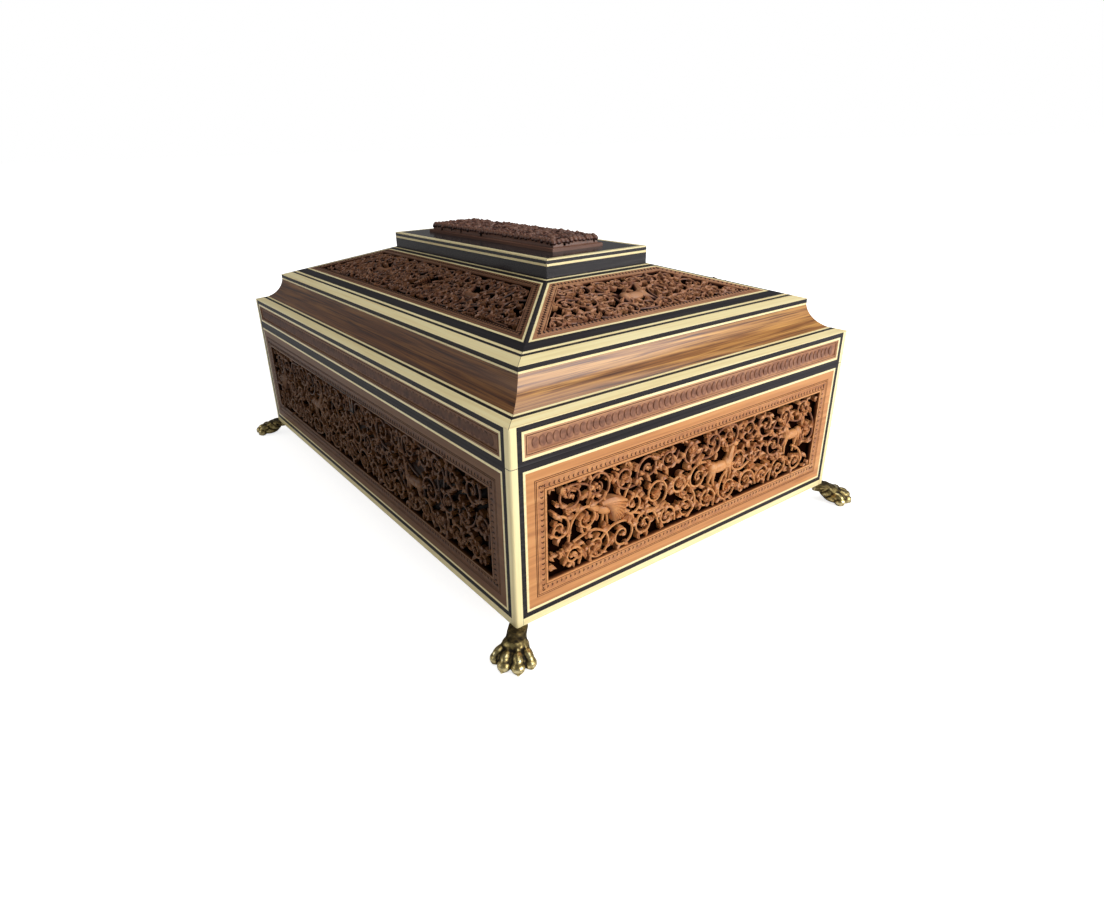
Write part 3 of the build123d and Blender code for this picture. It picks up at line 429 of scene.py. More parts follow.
def deer():
    """A stepping deer, ten units from chest to rump, facing along x."""
    bm = bmesh.new()
    ball(bm, (0, 0, 0), (5.0, 2.1, 1.5))
    ball(bm, (3.5, 0.5, 0), (2.3, 2.4, 1.6))
    ball(bm, (-3.7, 0.3, 0), (2.4, 2.4, 1.6))
    limb(bm, (3.9, 1.2, 0), (6.0, 6.2, 0), 1.7, 0.95)
    ball(bm, (7.0, 6.7, 0), (1.9, 1.0, 1.0), -0.4)
    for start, knee, hoof in (
        ((3.4, -1.0), (3.9, -4.6), (3.5, -8.0)),
        ((4.4, -0.8), (6.0, -3.6), (5.4, -6.6)),
        ((-4.2, -0.8), (-5.3, -4.4), (-4.4, -8.0)),
        ((-3.0, -1.2), (-2.9, -4.6), (-1.9, -8.0)),
    ):
        limb(bm, (*start, 0), (*knee, 0), 1.15, 0.55)
        limb(bm, (*knee, 0), (*hoof, 0), 0.55, 0.4)
    for x, y, turn, size in ((6.0, 7.2, 2.2, 2.0), (6.4, 7.3, 1.7, 1.9), (-5.8, 1.2, 2.3, 2.4)):
        carve(bm, petal, place_at(x, y, 0.4, turn, size))
    for tip in ((4.6, 10.4), (6.6, 10.6)):
        limb(bm, (6.2, 7.4, 0), (*tip, 0), 0.42, 0.2)
    return bm


def heron():
    """A wading bird with an arched wing, facing along x."""
    bm = bmesh.new()
    ball(bm, (0, 0, 0), (3.6, 1.9, 1.4), 0.35)
    neck = [
        (3.0, 1.2, 0, 1.2),
        (6.0, 2.2, 0, 1.0),
        (6.4, 5.0, 0, 0.8),
        (4.0, 6.2, 0, 0.7),
        (4.4, 8.6, 0, 0.7),
    ]
    neck_mesh = stems_mesh([neck], "neck")
    bm.from_mesh(neck_mesh)
    bpy.data.meshes.remove(neck_mesh)
    ball(bm, (5.2, 8.9, 0), (1.5, 1.0, 0.9), -0.2)
    limb(bm, (6.0, 8.8, 0), (9.2, 7.8, 0), 0.55, 0.15)
    for step in range(9):
        root = (2.2 - 0.5 * step, 2.9 - 0.12 * step, 1.5 - 0.05 * step)
        turn = math.pi * (0.98 + 0.052 * step)
        carve(bm, feather, place_at(*root, turn, 9.4 - 0.35 * step))
    for hip, foot in ((0.4, 1.2), (-1.0, -1.6)):
        limb(bm, (hip, -1.6, 0), (foot, -7.4, 0), 0.5, 0.35)
    for turn in (2.9, 3.1, 3.3):
        carve(bm, feather, place_at(-3.2, -0.9, 0.6, turn, 5.0))
    return bm


def beast_mesh(beast, facing):
    """An animal as a mesh, facing along x or, where facing is -1, against it."""
    bm = beast()
    bmesh.ops.transform(bm, matrix=Matrix.Diagonal((facing, 1, 1, 1)), verts=bm.verts)
    bmesh.ops.recalc_face_normals(bm, faces=bm.faces)
    return as_mesh(bm, "beast")


def cell(x, y):
    """The small square of the field that a point lies in."""
    return round(x / gap_cell), round(y / gap_cell)


def sprig(field, x, y, turn, size, fan=(-0.85, 0.0, 0.85)):
    """A leaf whose lobes fan out from one point, kept inside the field."""
    for angle in fan:
        reach = size * (1 - 0.18 * abs(angle))
        tip = (x + reach * math.cos(turn + angle), y + reach * math.sin(turn + angle))
        if field["inside"](*tip, 0.0) and field["inside"](x, y, 0.0):
            z = -field["random"].uniform(0.1, 0.32) * field["depth"]
            tilt = field["random"].uniform(-0.18, 0.22)
            shape = field["random"].choice(lobes)
            carve(field["bm"], shape, place_at(x, y, z, turn + angle, reach, tilt))
            for part in (0.3, 0.6, 0.9):
                field["taken"].add(cell(x + part * (tip[0] - x), y + part * (tip[1] - y)))


def scroll(field, x, y, reach, hand, start):
    """A stem winding in to a rosette, with leaves along its outside."""
    steps = 15
    half_turns = 2.7
    shrink = 0.76
    taper = 0.35
    stem = []
    for away, back in ((1.9, 1.5), (1.35, 0.8)):
        turn = start - hand * back
        spot = (x + away * reach * math.cos(turn), y + away * reach * math.sin(turn))
        stem.append((*spot, -0.45 * field["depth"], field["stem"]))
    for step in range(steps + 1):
        part = step / steps
        turn = start + hand * half_turns * math.pi * part
        radius = reach * (1 - shrink * part)
        spot = (x + radius * math.cos(turn), y + radius * math.sin(turn))
        stem.append((*spot, -0.3 * field["depth"], field["stem"] * (1 - taper * part)))
        if step % 2 == 0 and part < 0.72:
            sprig(field, *spot, turn + hand * 0.9, field["leaf"] * (1 - taper * part), (-0.55, 0.5))
    field["stems"].append([spot for spot in stem if field["inside"](spot[0], spot[1], 0.5)])
    if field["inside"](x, y, 1.2) and field["random"].random() < 0.3:
        for step in range(6):
            place = place_at(x, y, -0.14 * field["depth"], start + step * math.pi / 3, 0.34 * reach)
            carve(field["bm"], petal, place)
    else:
        sprig(field, x, y, start + hand * 1.8, 0.62 * field["leaf"], (-2.4, -0.8, 0.8, 2.4))


def fill_field(field, low, high, pitch, beasts):
    """Scrolls in staggered rows round the animals, then leaves in the gaps."""
    wild = field["random"]
    clear = [(x, y + 0.6 * size, 6.4 * size, 6.6 * size) for _, x, y, _, size in beasts]
    rows = max(2, round((high[1] - low[1]) / pitch))
    row_height = (high[1] - low[1]) / rows
    columns = round((high[0] - low[0]) / pitch)
    column_width = (high[0] - low[0]) / columns

    def free(x, y):
        return all(((x - cx) / rx) ** 2 + ((y - cy) / ry) ** 2 > 1 for cx, cy, rx, ry in clear)

    for beast, x, y, facing, size in beasts:
        shape = beast_mesh(beast, facing)
        carve(field["bm"], shape, place_at(x, y, -0.62 * field["depth"], 0, size))
        bpy.data.meshes.remove(shape)
    for row in range(rows):
        for column in range(columns + 1):
            x = low[0] + (column + 0.5 * (row % 2)) * column_width + wild.uniform(-1.0, 1.0)
            y = low[1] + (row + 0.5) * row_height + wild.uniform(-0.9, 0.9)
            if free(x, y) and field["inside"](x, y, 1.6):
                reach = pitch * wild.uniform(0.34, 0.56)
                hand = wild.choice((-1, 1))
                scroll(field, x, y, reach, hand, wild.uniform(0, whole_turn))
    for _ in range(int(0.85 * columns * rows * pitch)):
        x = wild.uniform(low[0], high[0])
        y = wild.uniform(low[1], high[1])
        column, row = cell(x, y)
        near = {(column + dx, row + dy) for dx in (-1, 0, 1) for dy in (0, 1)}
        if not near & field["taken"] and free(x, y) and field["inside"](x, y, 0.4):
            sprig(field, x, y, wild.uniform(0, whole_turn), 0.75 * field["leaf"], (-1.9, -0.6, 0.6, 1.9))
    stems = stems_mesh([stem for stem in field["stems"] if len(stem) > 3], "stems")
    field["bm"].from_mesh(stems)
    bpy.data.meshes.remove(stems)


def step_in(bm, face, inset, drop=0.0, painted_shade_level=0.0):
    """Inset a face, sink it, and give its new edge a level of painted shade."""
    bmesh.ops.inset_region(bm, faces=[face], thickness=inset, depth=-drop, use_even_offset=True)
    sunk = bm.verts.layers.float["sunk"]
    for vert in face.verts:
        vert[sunk] = painted_shade_level


def scribe(bm, face):
    """A scribed line round a face."""
    step_in(bm, face, scribe_width, scribe_depth, scribe_painted_shade)
    step_in(bm, face, scribe_width, -scribe_depth)


def board_blank(half_low, half_high, bottom, top, thickness):
    """A flat board, straight or tapering towards its top, and its face, which is at z 0."""
    bm = bmesh.new()
    bm.verts.layers.float.new("sunk")
    bmesh.ops.create_cube(bm, size=2)
    for vert in bm.verts:
        half, y = (half_low, bottom) if vert.co.y < 0 else (half_high, top)
        vert.co = Vector((math.copysign(half, vert.co.x), y, 0 if vert.co.z > 0 else -thickness))
    bm.faces.ensure_lookup_table()
    return bm, max(bm.faces, key=lambda face: face.calc_center_median().z)


def start_field(bm, seed, depth, stem, leaf, inside):
    """What the carving of one field needs: its mesh, its draws, its sizes and its edge."""
    return {
        "bm": bm,
        "board_verts": len(bm.verts),
        "random": random.Random(seed),
        "stems": [],
        "taken": set(),
        "depth": depth,
        "stem": stem,
        "leaf": leaf,
        "inside": inside,
    }


def finish_carving(field, name, node, body, place, material):
    """Paint shade on the carving, darker the deeper it lies, and place it on the box."""
    bm = field["bm"]
    sunk = bm.verts.layers.float["sunk"]
    for vert in bm.verts:
        if vert.index >= field["board_verts"] or vert.index < 0:
            vert[sunk] = min(1.0, vert[sunk] + max(0.0, -vert.co.z / field["depth"]))
    mesh = as_mesh(bm, name)
    mesh.transform(place)
    mesh.materials.append(material)
    mesh.shade_smooth()
    mesh.set_sharp_from_angle(angle=math.radians(42))
    piece = bpy.data.objects.new(name, mesh)
    bpy.context.scene.collection.objects.link(piece)
    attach(piece, body)
    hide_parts(node)


def stamp_row(bm, shape, start, end, pitch, size, turn):
    """Stamped marks in a row from one point to another."""
    start, end = Vector(start), Vector(end)
    count = int((end - start).length // pitch)
    for step in range(count + 1):
        spot = start.lerp(end, step / count)
        carve(bm, shape, place_at(spot.x, spot.y, -stamp_sink, turn, size))


def fused(mesh, other, operation):
    """Two closed meshes joined, or the second cut from the first."""
    holders = [bpy.data.objects.new("blank", mesh), bpy.data.objects.new("tool", other)]
    for holder in holders:
        bpy.context.scene.collection.objects.link(holder)
    cut = holders[0].modifiers.new("cut", "BOOLEAN")
    cut.object = holders[1]
    cut.operation = operation
    cut.solver = "EXACT"
    graph = bpy.context.evaluated_depsgraph_get()
    made = bpy.data.meshes.new_from_object(holders[0].evaluated_get(graph))
    for holder in holders:
        bpy.data.objects.remove(holder)
    return made


def cut_keyhole(bm, top):
    """The front board with its keyhole, in a tongue left hanging in the field."""
    tongue = bmesh.new()
    tongue.verts.layers.float.new("sunk")
    size = (2 * tongue_half, top - tongue_root - tongue_low, carving_depth + 1)
    place = Matrix.Translation((0, tongue_low + size[1] / 2, -size[2] / 2)) @ Matrix.Diagonal((*size, 1))
    bmesh.ops.create_cube(tongue, size=1, matrix=place)
    board = fused(as_mesh(bm, "board"), as_mesh(tongue, "tongue"), "UNION")
    for radius, low in ((keyhole_radius, 0.0), (keyhole_slot / 2, keyhole_length)):
        tool = bmesh.new()
        tool.verts.layers.float.new("sunk")
        bmesh.ops.create_cone(
            tool, cap_ends=True, segments=24, radius1=radius, radius2=radius, depth=keyhole_reach
        )
        for vert in tool.verts:
            vert.co.y += keyhole_height - (low if vert.co.y < -0.01 else 0)
        board = fused(board, as_mesh(tool, "keyhole"), "DIFFERENCE")
    made = bmesh.new()
    made.from_mesh(board)
    return made


# For each side: its animals, each with its place, the way it faces and its size.
case_beasts = {
    "right": [(heron, -57, 48, -1, 1.35), (deer, 15, 46, 1, 1.4), (deer, 70, 48, -1, 1.25)],
    "left": [(heron, 57, 48, 1, 1.35), (deer, -15, 46, -1, 1.4), (deer, -70, 48, 1, 1.25)],
    "front": [(heron, -110, 48, 1, 1.2), (deer, -58, 47, 1, 1.3), (deer, 66, 43, -1, 1.4)],
    "back": [(heron, 110, 48, -1, 1.2), (deer, 58, 47, -1, 1.3), (deer, -66, 43, 1, 1.4)],
}
for seed, side in enumerate(faces):
    low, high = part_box(f"case_panel_{side}")
    half = half_along(side, high)
    bottom, top = low.z / mm, high.z / mm
    bm, face = board_blank(half, half, bottom, top, panel_thickness)
    step_in(bm, face, border)
    scribe(bm, face)
    step_in(bm, face, scribe_gap)
    scribe(bm, face)
    step_in(bm, face, scribe_gap)
    step_in(bm, face, band_edge, band_sink, band_painted_shade)
    step_in(bm, face, band_width, 0.0, band_painted_shade)
    step_in(bm, face, band_edge, -band_sink)
    step_in(bm, face, scribe_gap)
    scribe(bm, face)
    step_in(bm, face, field_border)
    step_in(bm, face, wall_lean, carving_depth, 1.0)
    if side == "front":
        bm = cut_keyhole(bm, top)
    band_in = border + scribe_gap + scribe_gap + band_edge + 4 * scribe_width
    row = band_in + band_width / 2
    row_x, row_low, row_high = half - row, bottom + row, top - row
    for start, end, turn in (
        ((-row_x, row_low), (row_x, row_low), 0.2),
        ((row_x, row_high), (-row_x, row_high), 3.3),
        ((-row_x, row_high), (-row_x, row_low), 4.9),
        ((row_x, row_low), (row_x, row_high), 1.8),
    ):
        stamp_row(bm, crescent, start, end, stamp_pitch, stamp_size, turn)
    bm.verts.index_update()
    field_in = band_in + band_width + band_edge + scribe_gap + 2 * scribe_width + field_border
    left, right = -half + field_in, half - field_in
    field_low, field_high = bottom + field_in, top - field_in
    field = start_field(
        bm,
        seed=seed + 3,
        depth=carving_depth,
        stem=stem_radius,
        leaf=leaf_length,
        inside=lambda x, y, margin: (
            left + margin < x < right - margin
            and field_low + margin < y < field_high - margin
            and not (side == "front" and abs(x) < tongue_half + margin and y > tongue_low)
        ),
    )
    fill_field(field, (left, field_low), (right, field_high), scroll_pitch, case_beasts[side])
    name, node, slot = f"carved_panel_{side}", f"case_panel_{side}", "sandalwood_carved"
    finish_carving(field, name, node, "case", upright_face(side), carved_wood)

# Paw feet. Four brass castings, each with an ankle under the corner, tendons running
# down to four clawed toes, and a plate behind that two screws hold up to the bottom
# board. The hollows have gone olive brown and the ridges are rubbed bright.
foot_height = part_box("foot_front_right")[1].z / mm
plate_rise = 1.35
plate_in = 2.0
plate_leg = 24.0
plate_nose = 0.4
casting_grain = 0.36
flat_hollow = 0.54
hollow_gain = 10.0
painted_shade_ankle_top = 1.4
# Each toe's reach and its angle from the diagonal of the corner.
toes = ((13.6, -37.0), (16.2, -13.0), (16.9, 11.0), (14.6, 34.0))
# For each foot: the way to its corner in x and in y, and the angle of its diagonal.
corners = {
    "front_right": (1, -1, -45.0),
    "front_left": (-1, -1, -135.0),
    "back_right": (1, 1, 45.0),
    "back_left": (-1, 1, 135.0),
}


def aged_brass():
    """Cast brass, bright on its ridges and olive brown in its hollows."""
    material, tree, shader = start_material("aged_brass", roughness=0.3)
    place = in_box(tree)
    hollow = put(tree, "ShaderNodeAttribute", attribute_name="hollow").outputs["Fac"]
    cloud = noise(tree, place, scale=520.0, detail=6.0)
    mottle = math_node(tree, "MULTIPLY", math_node(tree, "SUBTRACT", cloud, 0.5), 0.55)
    wear = math_node(tree, "ADD", hollow, mottle)
    stops = [
        (0.28, (0.80, 0.69, 0.38)),
        (0.42, (0.40, 0.31, 0.12)),
        (0.54, (0.13, 0.095, 0.038)),
        (0.7, (0.02, 0.015, 0.01)),
    ]
    tree.links.new(ramp(tree, wear, stops), shader.inputs["Base Color"])
    spread = {"Value": wear, "From Min": 0.3, "From Max": 0.7, "To Min": 0.2, "To Max": 0.6}
    dull = put(tree, "ShaderNodeMapRange", spread).outputs["Result"]
    tree.links.new(dull, shader.inputs["Roughness"])
    bumped(tree, shader, cloud, distance=0.12 * mm, strength=0.35)
    shader.inputs["Metallic"].default_value = 0.92
    return material


def paw_mesh():
    """One paw in millimetres, x outwards along the corner's diagonal."""
    bm = bmesh.new()
    limb(bm, (-4.6, 0, 9.2), (0.6, 0, 8.6), 4.0, 4.2)
    ball(bm, (1.4, 0, 7.4), (3.6, 4.3, 3.6), detail=3)
    ball(bm, (4.2, 0, 5.4), (5.2, 5.8, 4.0), detail=3)
    ball(bm, (7.4, 0, 3.2), (6.6, 7.8, 3.6), detail=3)
    for reach, degrees in toes:
        turn = math.radians(degrees)
        ahead = Vector((math.cos(turn), math.sin(turn), 0))
        ball(bm, ahead * 0.62 * reach + Vector((0, 0, 3.9)), (4.8, 2.55, 3.0), turn, 3)
        ball(bm, ahead * 0.82 * reach + Vector((0, 0, 2.3)), (3.0, 2.85, 2.6), turn, 3)
        limb(bm, ahead * 0.86 * reach + Vector((0, 0, 2.4)), ahead * reach + Vector((0, 0, 0.5)), 1.7, 0.5)
        root = Vector((1.8, 3.4 * ahead.y, 9.2))
        limb(bm, root, ahead * 0.58 * reach + Vector((0, 0, 5.2)), 1.2, 1.7)
    mesh = as_mesh(bm, "paw")
    holder = bpy.data.objects.new("paw_blank", mesh)
    bpy.context.scene.collection.objects.link(holder)
    remesh = holder.modifiers.new("fuse", "REMESH")
    remesh.mode = "VOXEL"
    remesh.voxel_size = casting_grain
    graph = bpy.context.evaluated_depsgraph_get()
    cast = bpy.data.meshes.new_from_object(holder.evaluated_get(graph))
    bpy.data.objects.remove(holder)
    bpy.data.meshes.remove(mesh)
    bm = bmesh.new()
    bm.from_mesh(cast)
    bpy.data.meshes.remove(cast)
    for _ in range(3):
        axes = {"use_axis_x": True, "use_axis_y": True, "use_axis_z": True}
        bmesh.ops.smooth_vert(bm, verts=bm.verts, factor=0.5, **axes)
    for level, facing in ((0.0, -1), (foot_height, 1)):
        whole = bm.verts[:] + bm.edges[:] + bm.faces[:]
        plane = {"plane_co": (0, 0, level), "plane_no": (0, 0, facing)}
        bmesh.ops.bisect_plane(bm, geom=whole, clear_outer=True, **plane)
        bmesh.ops.holes_fill(bm, edges=[edge for edge in bm.edges if edge.is_boundary], sides=0)
    bmesh.ops.recalc_face_normals(bm, faces=bm.faces)
    hollow = bm.verts.layers.float.new("hollow")
    for vert in bm.verts:
        around = [edge.other_vert(vert).co for edge in vert.link_edges]
        bend = sum(((spot - vert.co).dot(vert.normal) for spot in around), 0.0) / len(around)
        depth = min(1.0, max(0.0, flat_hollow + hollow_gain * bend))
        # The band at the top of the ankle, under the case, takes a fixed darker value: painted shade.
        vert[hollow] = depth if vert.co.z < foot_height - painted_shade_ankle_top else 0.6
    plate = bmesh.ops.create_cube(bm, size=2)["verts"]
    near = -plate_in * math.sqrt(2)
    far = -(2 * plate_in + plate_leg) / math.sqrt(2)
    for vert in plate:
        inner = vert.co.x < 0
        side = plate_leg / math.sqrt(2) if inner else plate_nose
        level = foot_height if vert.co.z > 0 else foot_height - plate_rise
        vert.co = Vector((far if inner else near, math.copysign(side, vert.co.y), level))
        vert[hollow] = 0.5
    return as_mesh(bm, "paw")


paw = paw_mesh()
paw_brass = aged_brass()
for corner, (x_side, y_side, angle) in corners.items():
    mesh = paw.copy()
    mesh.name = f"paw_{corner}"
    corner_place = Matrix.Translation((x_side * half_length, y_side * half_width, 0))
    mesh.transform(corner_place @ Matrix.Rotation(math.radians(angle), 4, "Z") @ Matrix.Scale(mm, 4))
    mesh.materials.append(paw_brass)
    mesh.shade_smooth()
    mesh.set_sharp_from_angle(angle=math.radians(60))
    piece = bpy.data.objects.new(f"paw_{corner}", mesh)
    bpy.context.scene.collection.objects.link(piece)
    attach(piece, "case")
    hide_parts(f"foot_{corner}")
bpy.data.meshes.remove(paw)

# Lid friezes. Narrow sandalwood strips let in above the case panels, with a scribed
# line round a sunk band. The band holds a row of thumbnail cuts, each an oval gouge
# mark with a raised rim that leans over the next.
# Painted shade darkens the sunk band, the floor of each cut and the strips on the long sides.
strip_thickness = 3.3
strip_border = 0.7
frieze_wall = 0.2
frieze_sink = 0.55
thumb_pitch = 3.23
thumb_start = 5.0
thumb_sink = 0.03
frieze_tones = ((0.50, 0.25, 0.12), (0.42, 0.19, 0.085), (0.56, 0.30, 0.15))
frieze_wood = sandalwood("frieze_sandalwood", frieze_tones, 0.45, (0.42, 0.38, 0.32))


def thumb_cut(wide, tall):
    """An oval cup with a rim that is higher on one side."""
    bm = bmesh.new()
    bmesh.ops.create_circle(bm, cap_ends=True, segments=14, radius=1)
    face = bm.faces[:][0]
    face.normal_update()
    if face.normal.z < 0:
        face.normal_flip()
    sunk = bm.verts.layers.float.new("sunk")
    for inset, drop in ((0.14, 0.0), (0.26, 0.45), (0.2, 0.08)):
        bmesh.ops.inset_region(bm, faces=[face], thickness=inset, depth=-drop)
    for vert in bm.verts:
        # Painted shade on the floor of the cup.
        vert[sunk] = 0.22 if vert.co.z < -0.2 else 0.0
    outer = [edge for edge in bm.edges if edge.is_boundary]
    walls = bmesh.ops.extrude_edge_only(bm, edges=outer)["geom"]
    lowered = [item for item in walls if isinstance(item, bmesh.types.BMVert)]
    bmesh.ops.translate(bm, verts=lowered, vec=(0, 0, -0.9))
    bmesh.ops.recalc_face_normals(bm, faces=bm.faces)
    for vert in bm.verts:
        vert.co = Vector((wide * vert.co.x, tall * vert.co.y, 0.62 * vert.co.z - 0.16 * vert.co.x))
    return as_mesh(bm, "thumb_cut")


thumb = thumb_cut(wide=1.66, tall=2.35)
for side in faces:
    low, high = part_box(f"lid_frieze_{side}")
    half = half_along(side, high)
    bottom, top = low.z / mm, high.z / mm
    bm, face = board_blank(half, half, bottom, top, strip_thickness)
    step_in(bm, face, strip_border)
    scribe(bm, face)
    step_in(bm, face, scribe_gap)
    step_in(bm, face, frieze_wall, frieze_sink, 0.1)
    bm.verts.index_update()
    field = {"bm": bm, "board_verts": len(bm.verts), "depth": 1.0}
    middle = (bottom + top) / 2
    count = int(2 * (half - thumb_start) // thumb_pitch)
    for step in range(count + 1):
        x = (step - count / 2) * thumb_pitch
        carve(bm, thumb, place_at(x, middle, -thumb_sink, turn=0.2, size=1.0))
    name, node, slot = f"frieze_{side}", f"lid_frieze_{side}", "sandalwood_frieze"
    finish_carving(field, name, node, "lid", upright_face(side), frieze_wood)

# Cove. One length of striped rosewood along each side, planed hollow, mitred at the
# corners and french polished, so that the hollow carries a long bright reflection.
# The two long lengths are darkened by painted shade.
rosewood, tree, shader = start_material("rosewood", roughness=0.33)
place = along_side(tree)
figure = streaks(tree, place, along=9.0, across=340.0, detail=9.0, bend=1.5)
lines = streaks(tree, place, along=26.0, across=1700.0, detail=5.0, bend=0.6)
rosewood_stops = [
    (0.28, (0.11, 0.038, 0.010)),
    (0.44, (0.31, 0.125, 0.030)),
    (0.58, (0.52, 0.25, 0.062)),
    (0.76, (0.70, 0.38, 0.110)),
]
line_stops = [(0.36, (0.34, 0.26, 0.22)), (0.5, (0.9, 0.87, 0.85)), (0.7, (1.0, 1.0, 1.0))]
figured = blend(tree, 1.0, ramp(tree, figure, rosewood_stops), ramp(tree, lines, line_stops), "MULTIPLY")
shaded = paint_long_side_shade(tree, figured, shade=(0.47, 0.40, 0.37))
tree.links.new(shaded, shader.inputs["Base Color"])
pores = streaks(tree, place, along=60.0, across=2400.0, detail=2.0)
bumped(tree, shader, pores, distance=0.03 * mm, strength=0.25)
shader.inputs["Coat Weight"].default_value = 0.45
shader.inputs["Coat Roughness"].default_value = 0.18
dress(rosewood, "lid_coves")

# Sloping top. Four hipped sandalwood boards between the strings, darker than the case
# with handling: a row of notches between scribed lines, round a field of leaves with a
# deer on each short side, and a heron between two deer on each long one.
slope_layer = 3.0
slope_border = 1.5
notch_band = 1.4
notch_pitch = 2.1
notch_size = 1.7
notch_turn = 1.2
slope_rim = 0.4
slope_depth = 1.9
slope_stem = 0.55
slope_leaf = 4.3
slope_pitch = 11.5
# The notches start with a level of painted shade, and the boards on the long sides are darkened by painted
# shade.
notch = leaf_lobe(curl=0.2, hollow=-0.05, plump=0.26, painted_shade_level=0.55)
slope_tones = ((0.38, 0.17, 0.076), (0.29, 0.12, 0.054), (0.45, 0.225, 0.108))
slope_wood = sandalwood("slope_sandalwood", slope_tones, 0.4, (0.42, 0.38, 0.34))
slope_beasts = {
    "right": [(deer, 0, 18.5, 1, 1.4)],
    "left": [(deer, 0, 18.5, -1, 1.4)],
    "front": [(deer, -48, 19, 1, 1.1), (heron, 0, 18.5, -1, 1.05), (deer, 50, 19, -1, 1.1)],
    "back": [(deer, 48, 19, -1, 1.1), (heron, 0, 18.5, 1, 1.05), (deer, -50, 19, 1, 1.1)],
}
for seed, side in enumerate(faces):
    along, out, _ = faces[side]
    low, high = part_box(f"slope_panel_{side}")
    depths = [abs(Vector(corner).dot(Vector(out))) for corner in (low, high)]
    run_in = (max(depths) - min(depths)) / mm
    rise = (high.z - low.z) / mm - slope_layer
    climb = math.hypot(run_in, rise)
    half_low = half_along(side, high)
    half_high = half_low - run_in
    up = (Vector((0, 0, rise)) - Vector(out) * run_in).normalized()
    turned = Matrix((along, up, Vector(along).cross(up))).transposed().to_4x4()
    foot = Vector(out) * max(depths) + Vector((0, 0, high.z - rise * mm))
    place = Matrix.Translation(foot) @ turned @ Matrix.Scale(mm, 4)
    bm, face = board_blank(half_low, half_high, 0, climb, slope_layer)
    step_in(bm, face, slope_border)
    scribe(bm, face)
    step_in(bm, face, notch_band)
    scribe(bm, face)
    step_in(bm, face, slope_rim)
    step_in(bm, face, wall_lean, slope_depth, 1.0)
    bm.verts.index_update()
    field_in = slope_border + notch_band + slope_rim + 4 * scribe_width
    hip = (half_low - half_high) / climb
    hip_in = field_in * math.hypot(1, hip)
    field = start_field(
        bm,
        seed=seed + 20,
        depth=slope_depth,
        stem=slope_stem,
        leaf=slope_leaf,
        inside=lambda x, y, margin: (
            field_in + margin < y < climb - field_in - margin
            and abs(x) < half_low - hip * y - hip_in - margin * math.hypot(1, hip)
        ),
    )
    row = slope_border + notch_band / 2 + 2 * scribe_width
    row_hip = row * math.hypot(1, hip)
    row_high = climb - row
    low_x, high_x = half_low - hip * row - row_hip, half_low - hip * row_high - row_hip
    lean = math.atan2(climb, half_low - half_high)
    for start, end, turn in (
        ((-low_x, row), (low_x, row), notch_turn),
        ((-high_x, row_high), (high_x, row_high), notch_turn),
        ((low_x, row), (high_x, row_high), notch_turn - lean),
        ((-low_x, row), (-high_x, row_high), notch_turn + lean),
    ):
        stamp_row(bm, notch, start, end, notch_pitch, notch_size, turn)
    field_low, field_high = (-half_low + hip_in, field_in), (half_low - hip_in, climb - field_in)
    fill_field(field, field_low, field_high, slope_pitch, slope_beasts[side])
    name, node = f"slope_carving_{side}", f"slope_panel_{side}"
    finish_carving(field, name, node, "lid", place, slope_wood)

# Plaque. A block of dark sandalwood glued to the plinth: a thin base board with a
# moulded edge, a body with hollow sides, and a domed crown of lumps and leaves round a
# rosette, with a row of bosses along its edge.
base_rise = 1.4
base_lip = 0.3
base_lip_rise = 0.25
body_in = 1.6
crown_in = body_in + 1.0
crown_lap = 0.9
crown_depth = 2.4
crown_rise = 2.3
crown_pitch = 9.0
boss_pitch = 2.6
boss_start = 3
boss_in = 1.1
lump_count = 150
rosette_petals = 8
plaque_tones = ((0.15, 0.065, 0.040), (0.10, 0.042, 0.026), (0.21, 0.10, 0.062))
plaque_wood = sandalwood("plaque_sandalwood", plaque_tones, 0.36, (1, 1, 1))
low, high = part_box("plaque")
half_x, half_y = high.x / mm, high.y / mm
plaque_low, plaque_high = low.z / mm, high.z / mm
bm, face = board_blank(half_x, half_x, -half_y, half_y, base_rise)
step_in(bm, face, base_lip, -base_lip_rise)
step_in(bm, face, body_in - base_lip)
for inset, rise in ((0.25, 0.3), (0.15, 0.9), (0.02, 0.9), (-0.15, 0.4)):
    step_in(bm, face, inset, -rise)
# Painted shade on the hollow sides of the body.
for inset, drop, painted_shade_level in ((0.8, 0.9, 0.6), (3.0, -0.5, 0.7), (4.0, -0.8, 0.7)):
    step_in(bm, face, inset, drop, painted_shade_level)
crown = bmesh.new()
crown.verts.layers.float.new("sunk")
crown_x, crown_y = half_x - crown_in, half_y - crown_in
field = start_field(
    crown,
    seed=41,
    depth=crown_depth,
    stem=0.6,
    leaf=4.4,
    inside=lambda x, y, margin: (
        abs(x) < crown_x + crown_lap - margin and abs(y) < crown_y + crown_lap - margin
    ),
)
fill_field(field, (-crown_x, -crown_y), (crown_x, crown_y), crown_pitch, [])
wild = field["random"]
blank = bmesh.new()
ball(blank, (0, 0, 0), (1, 1, 1))
lump = as_mesh(blank, "lump")


def add_lump(spot, radii, turn):
    """A rounded lump of the crown."""
    place = Matrix.Translation(spot) @ Matrix.Rotation(turn, 4, "Z") @ Matrix.Diagonal((*radii, 1))
    carve(crown, lump, place)


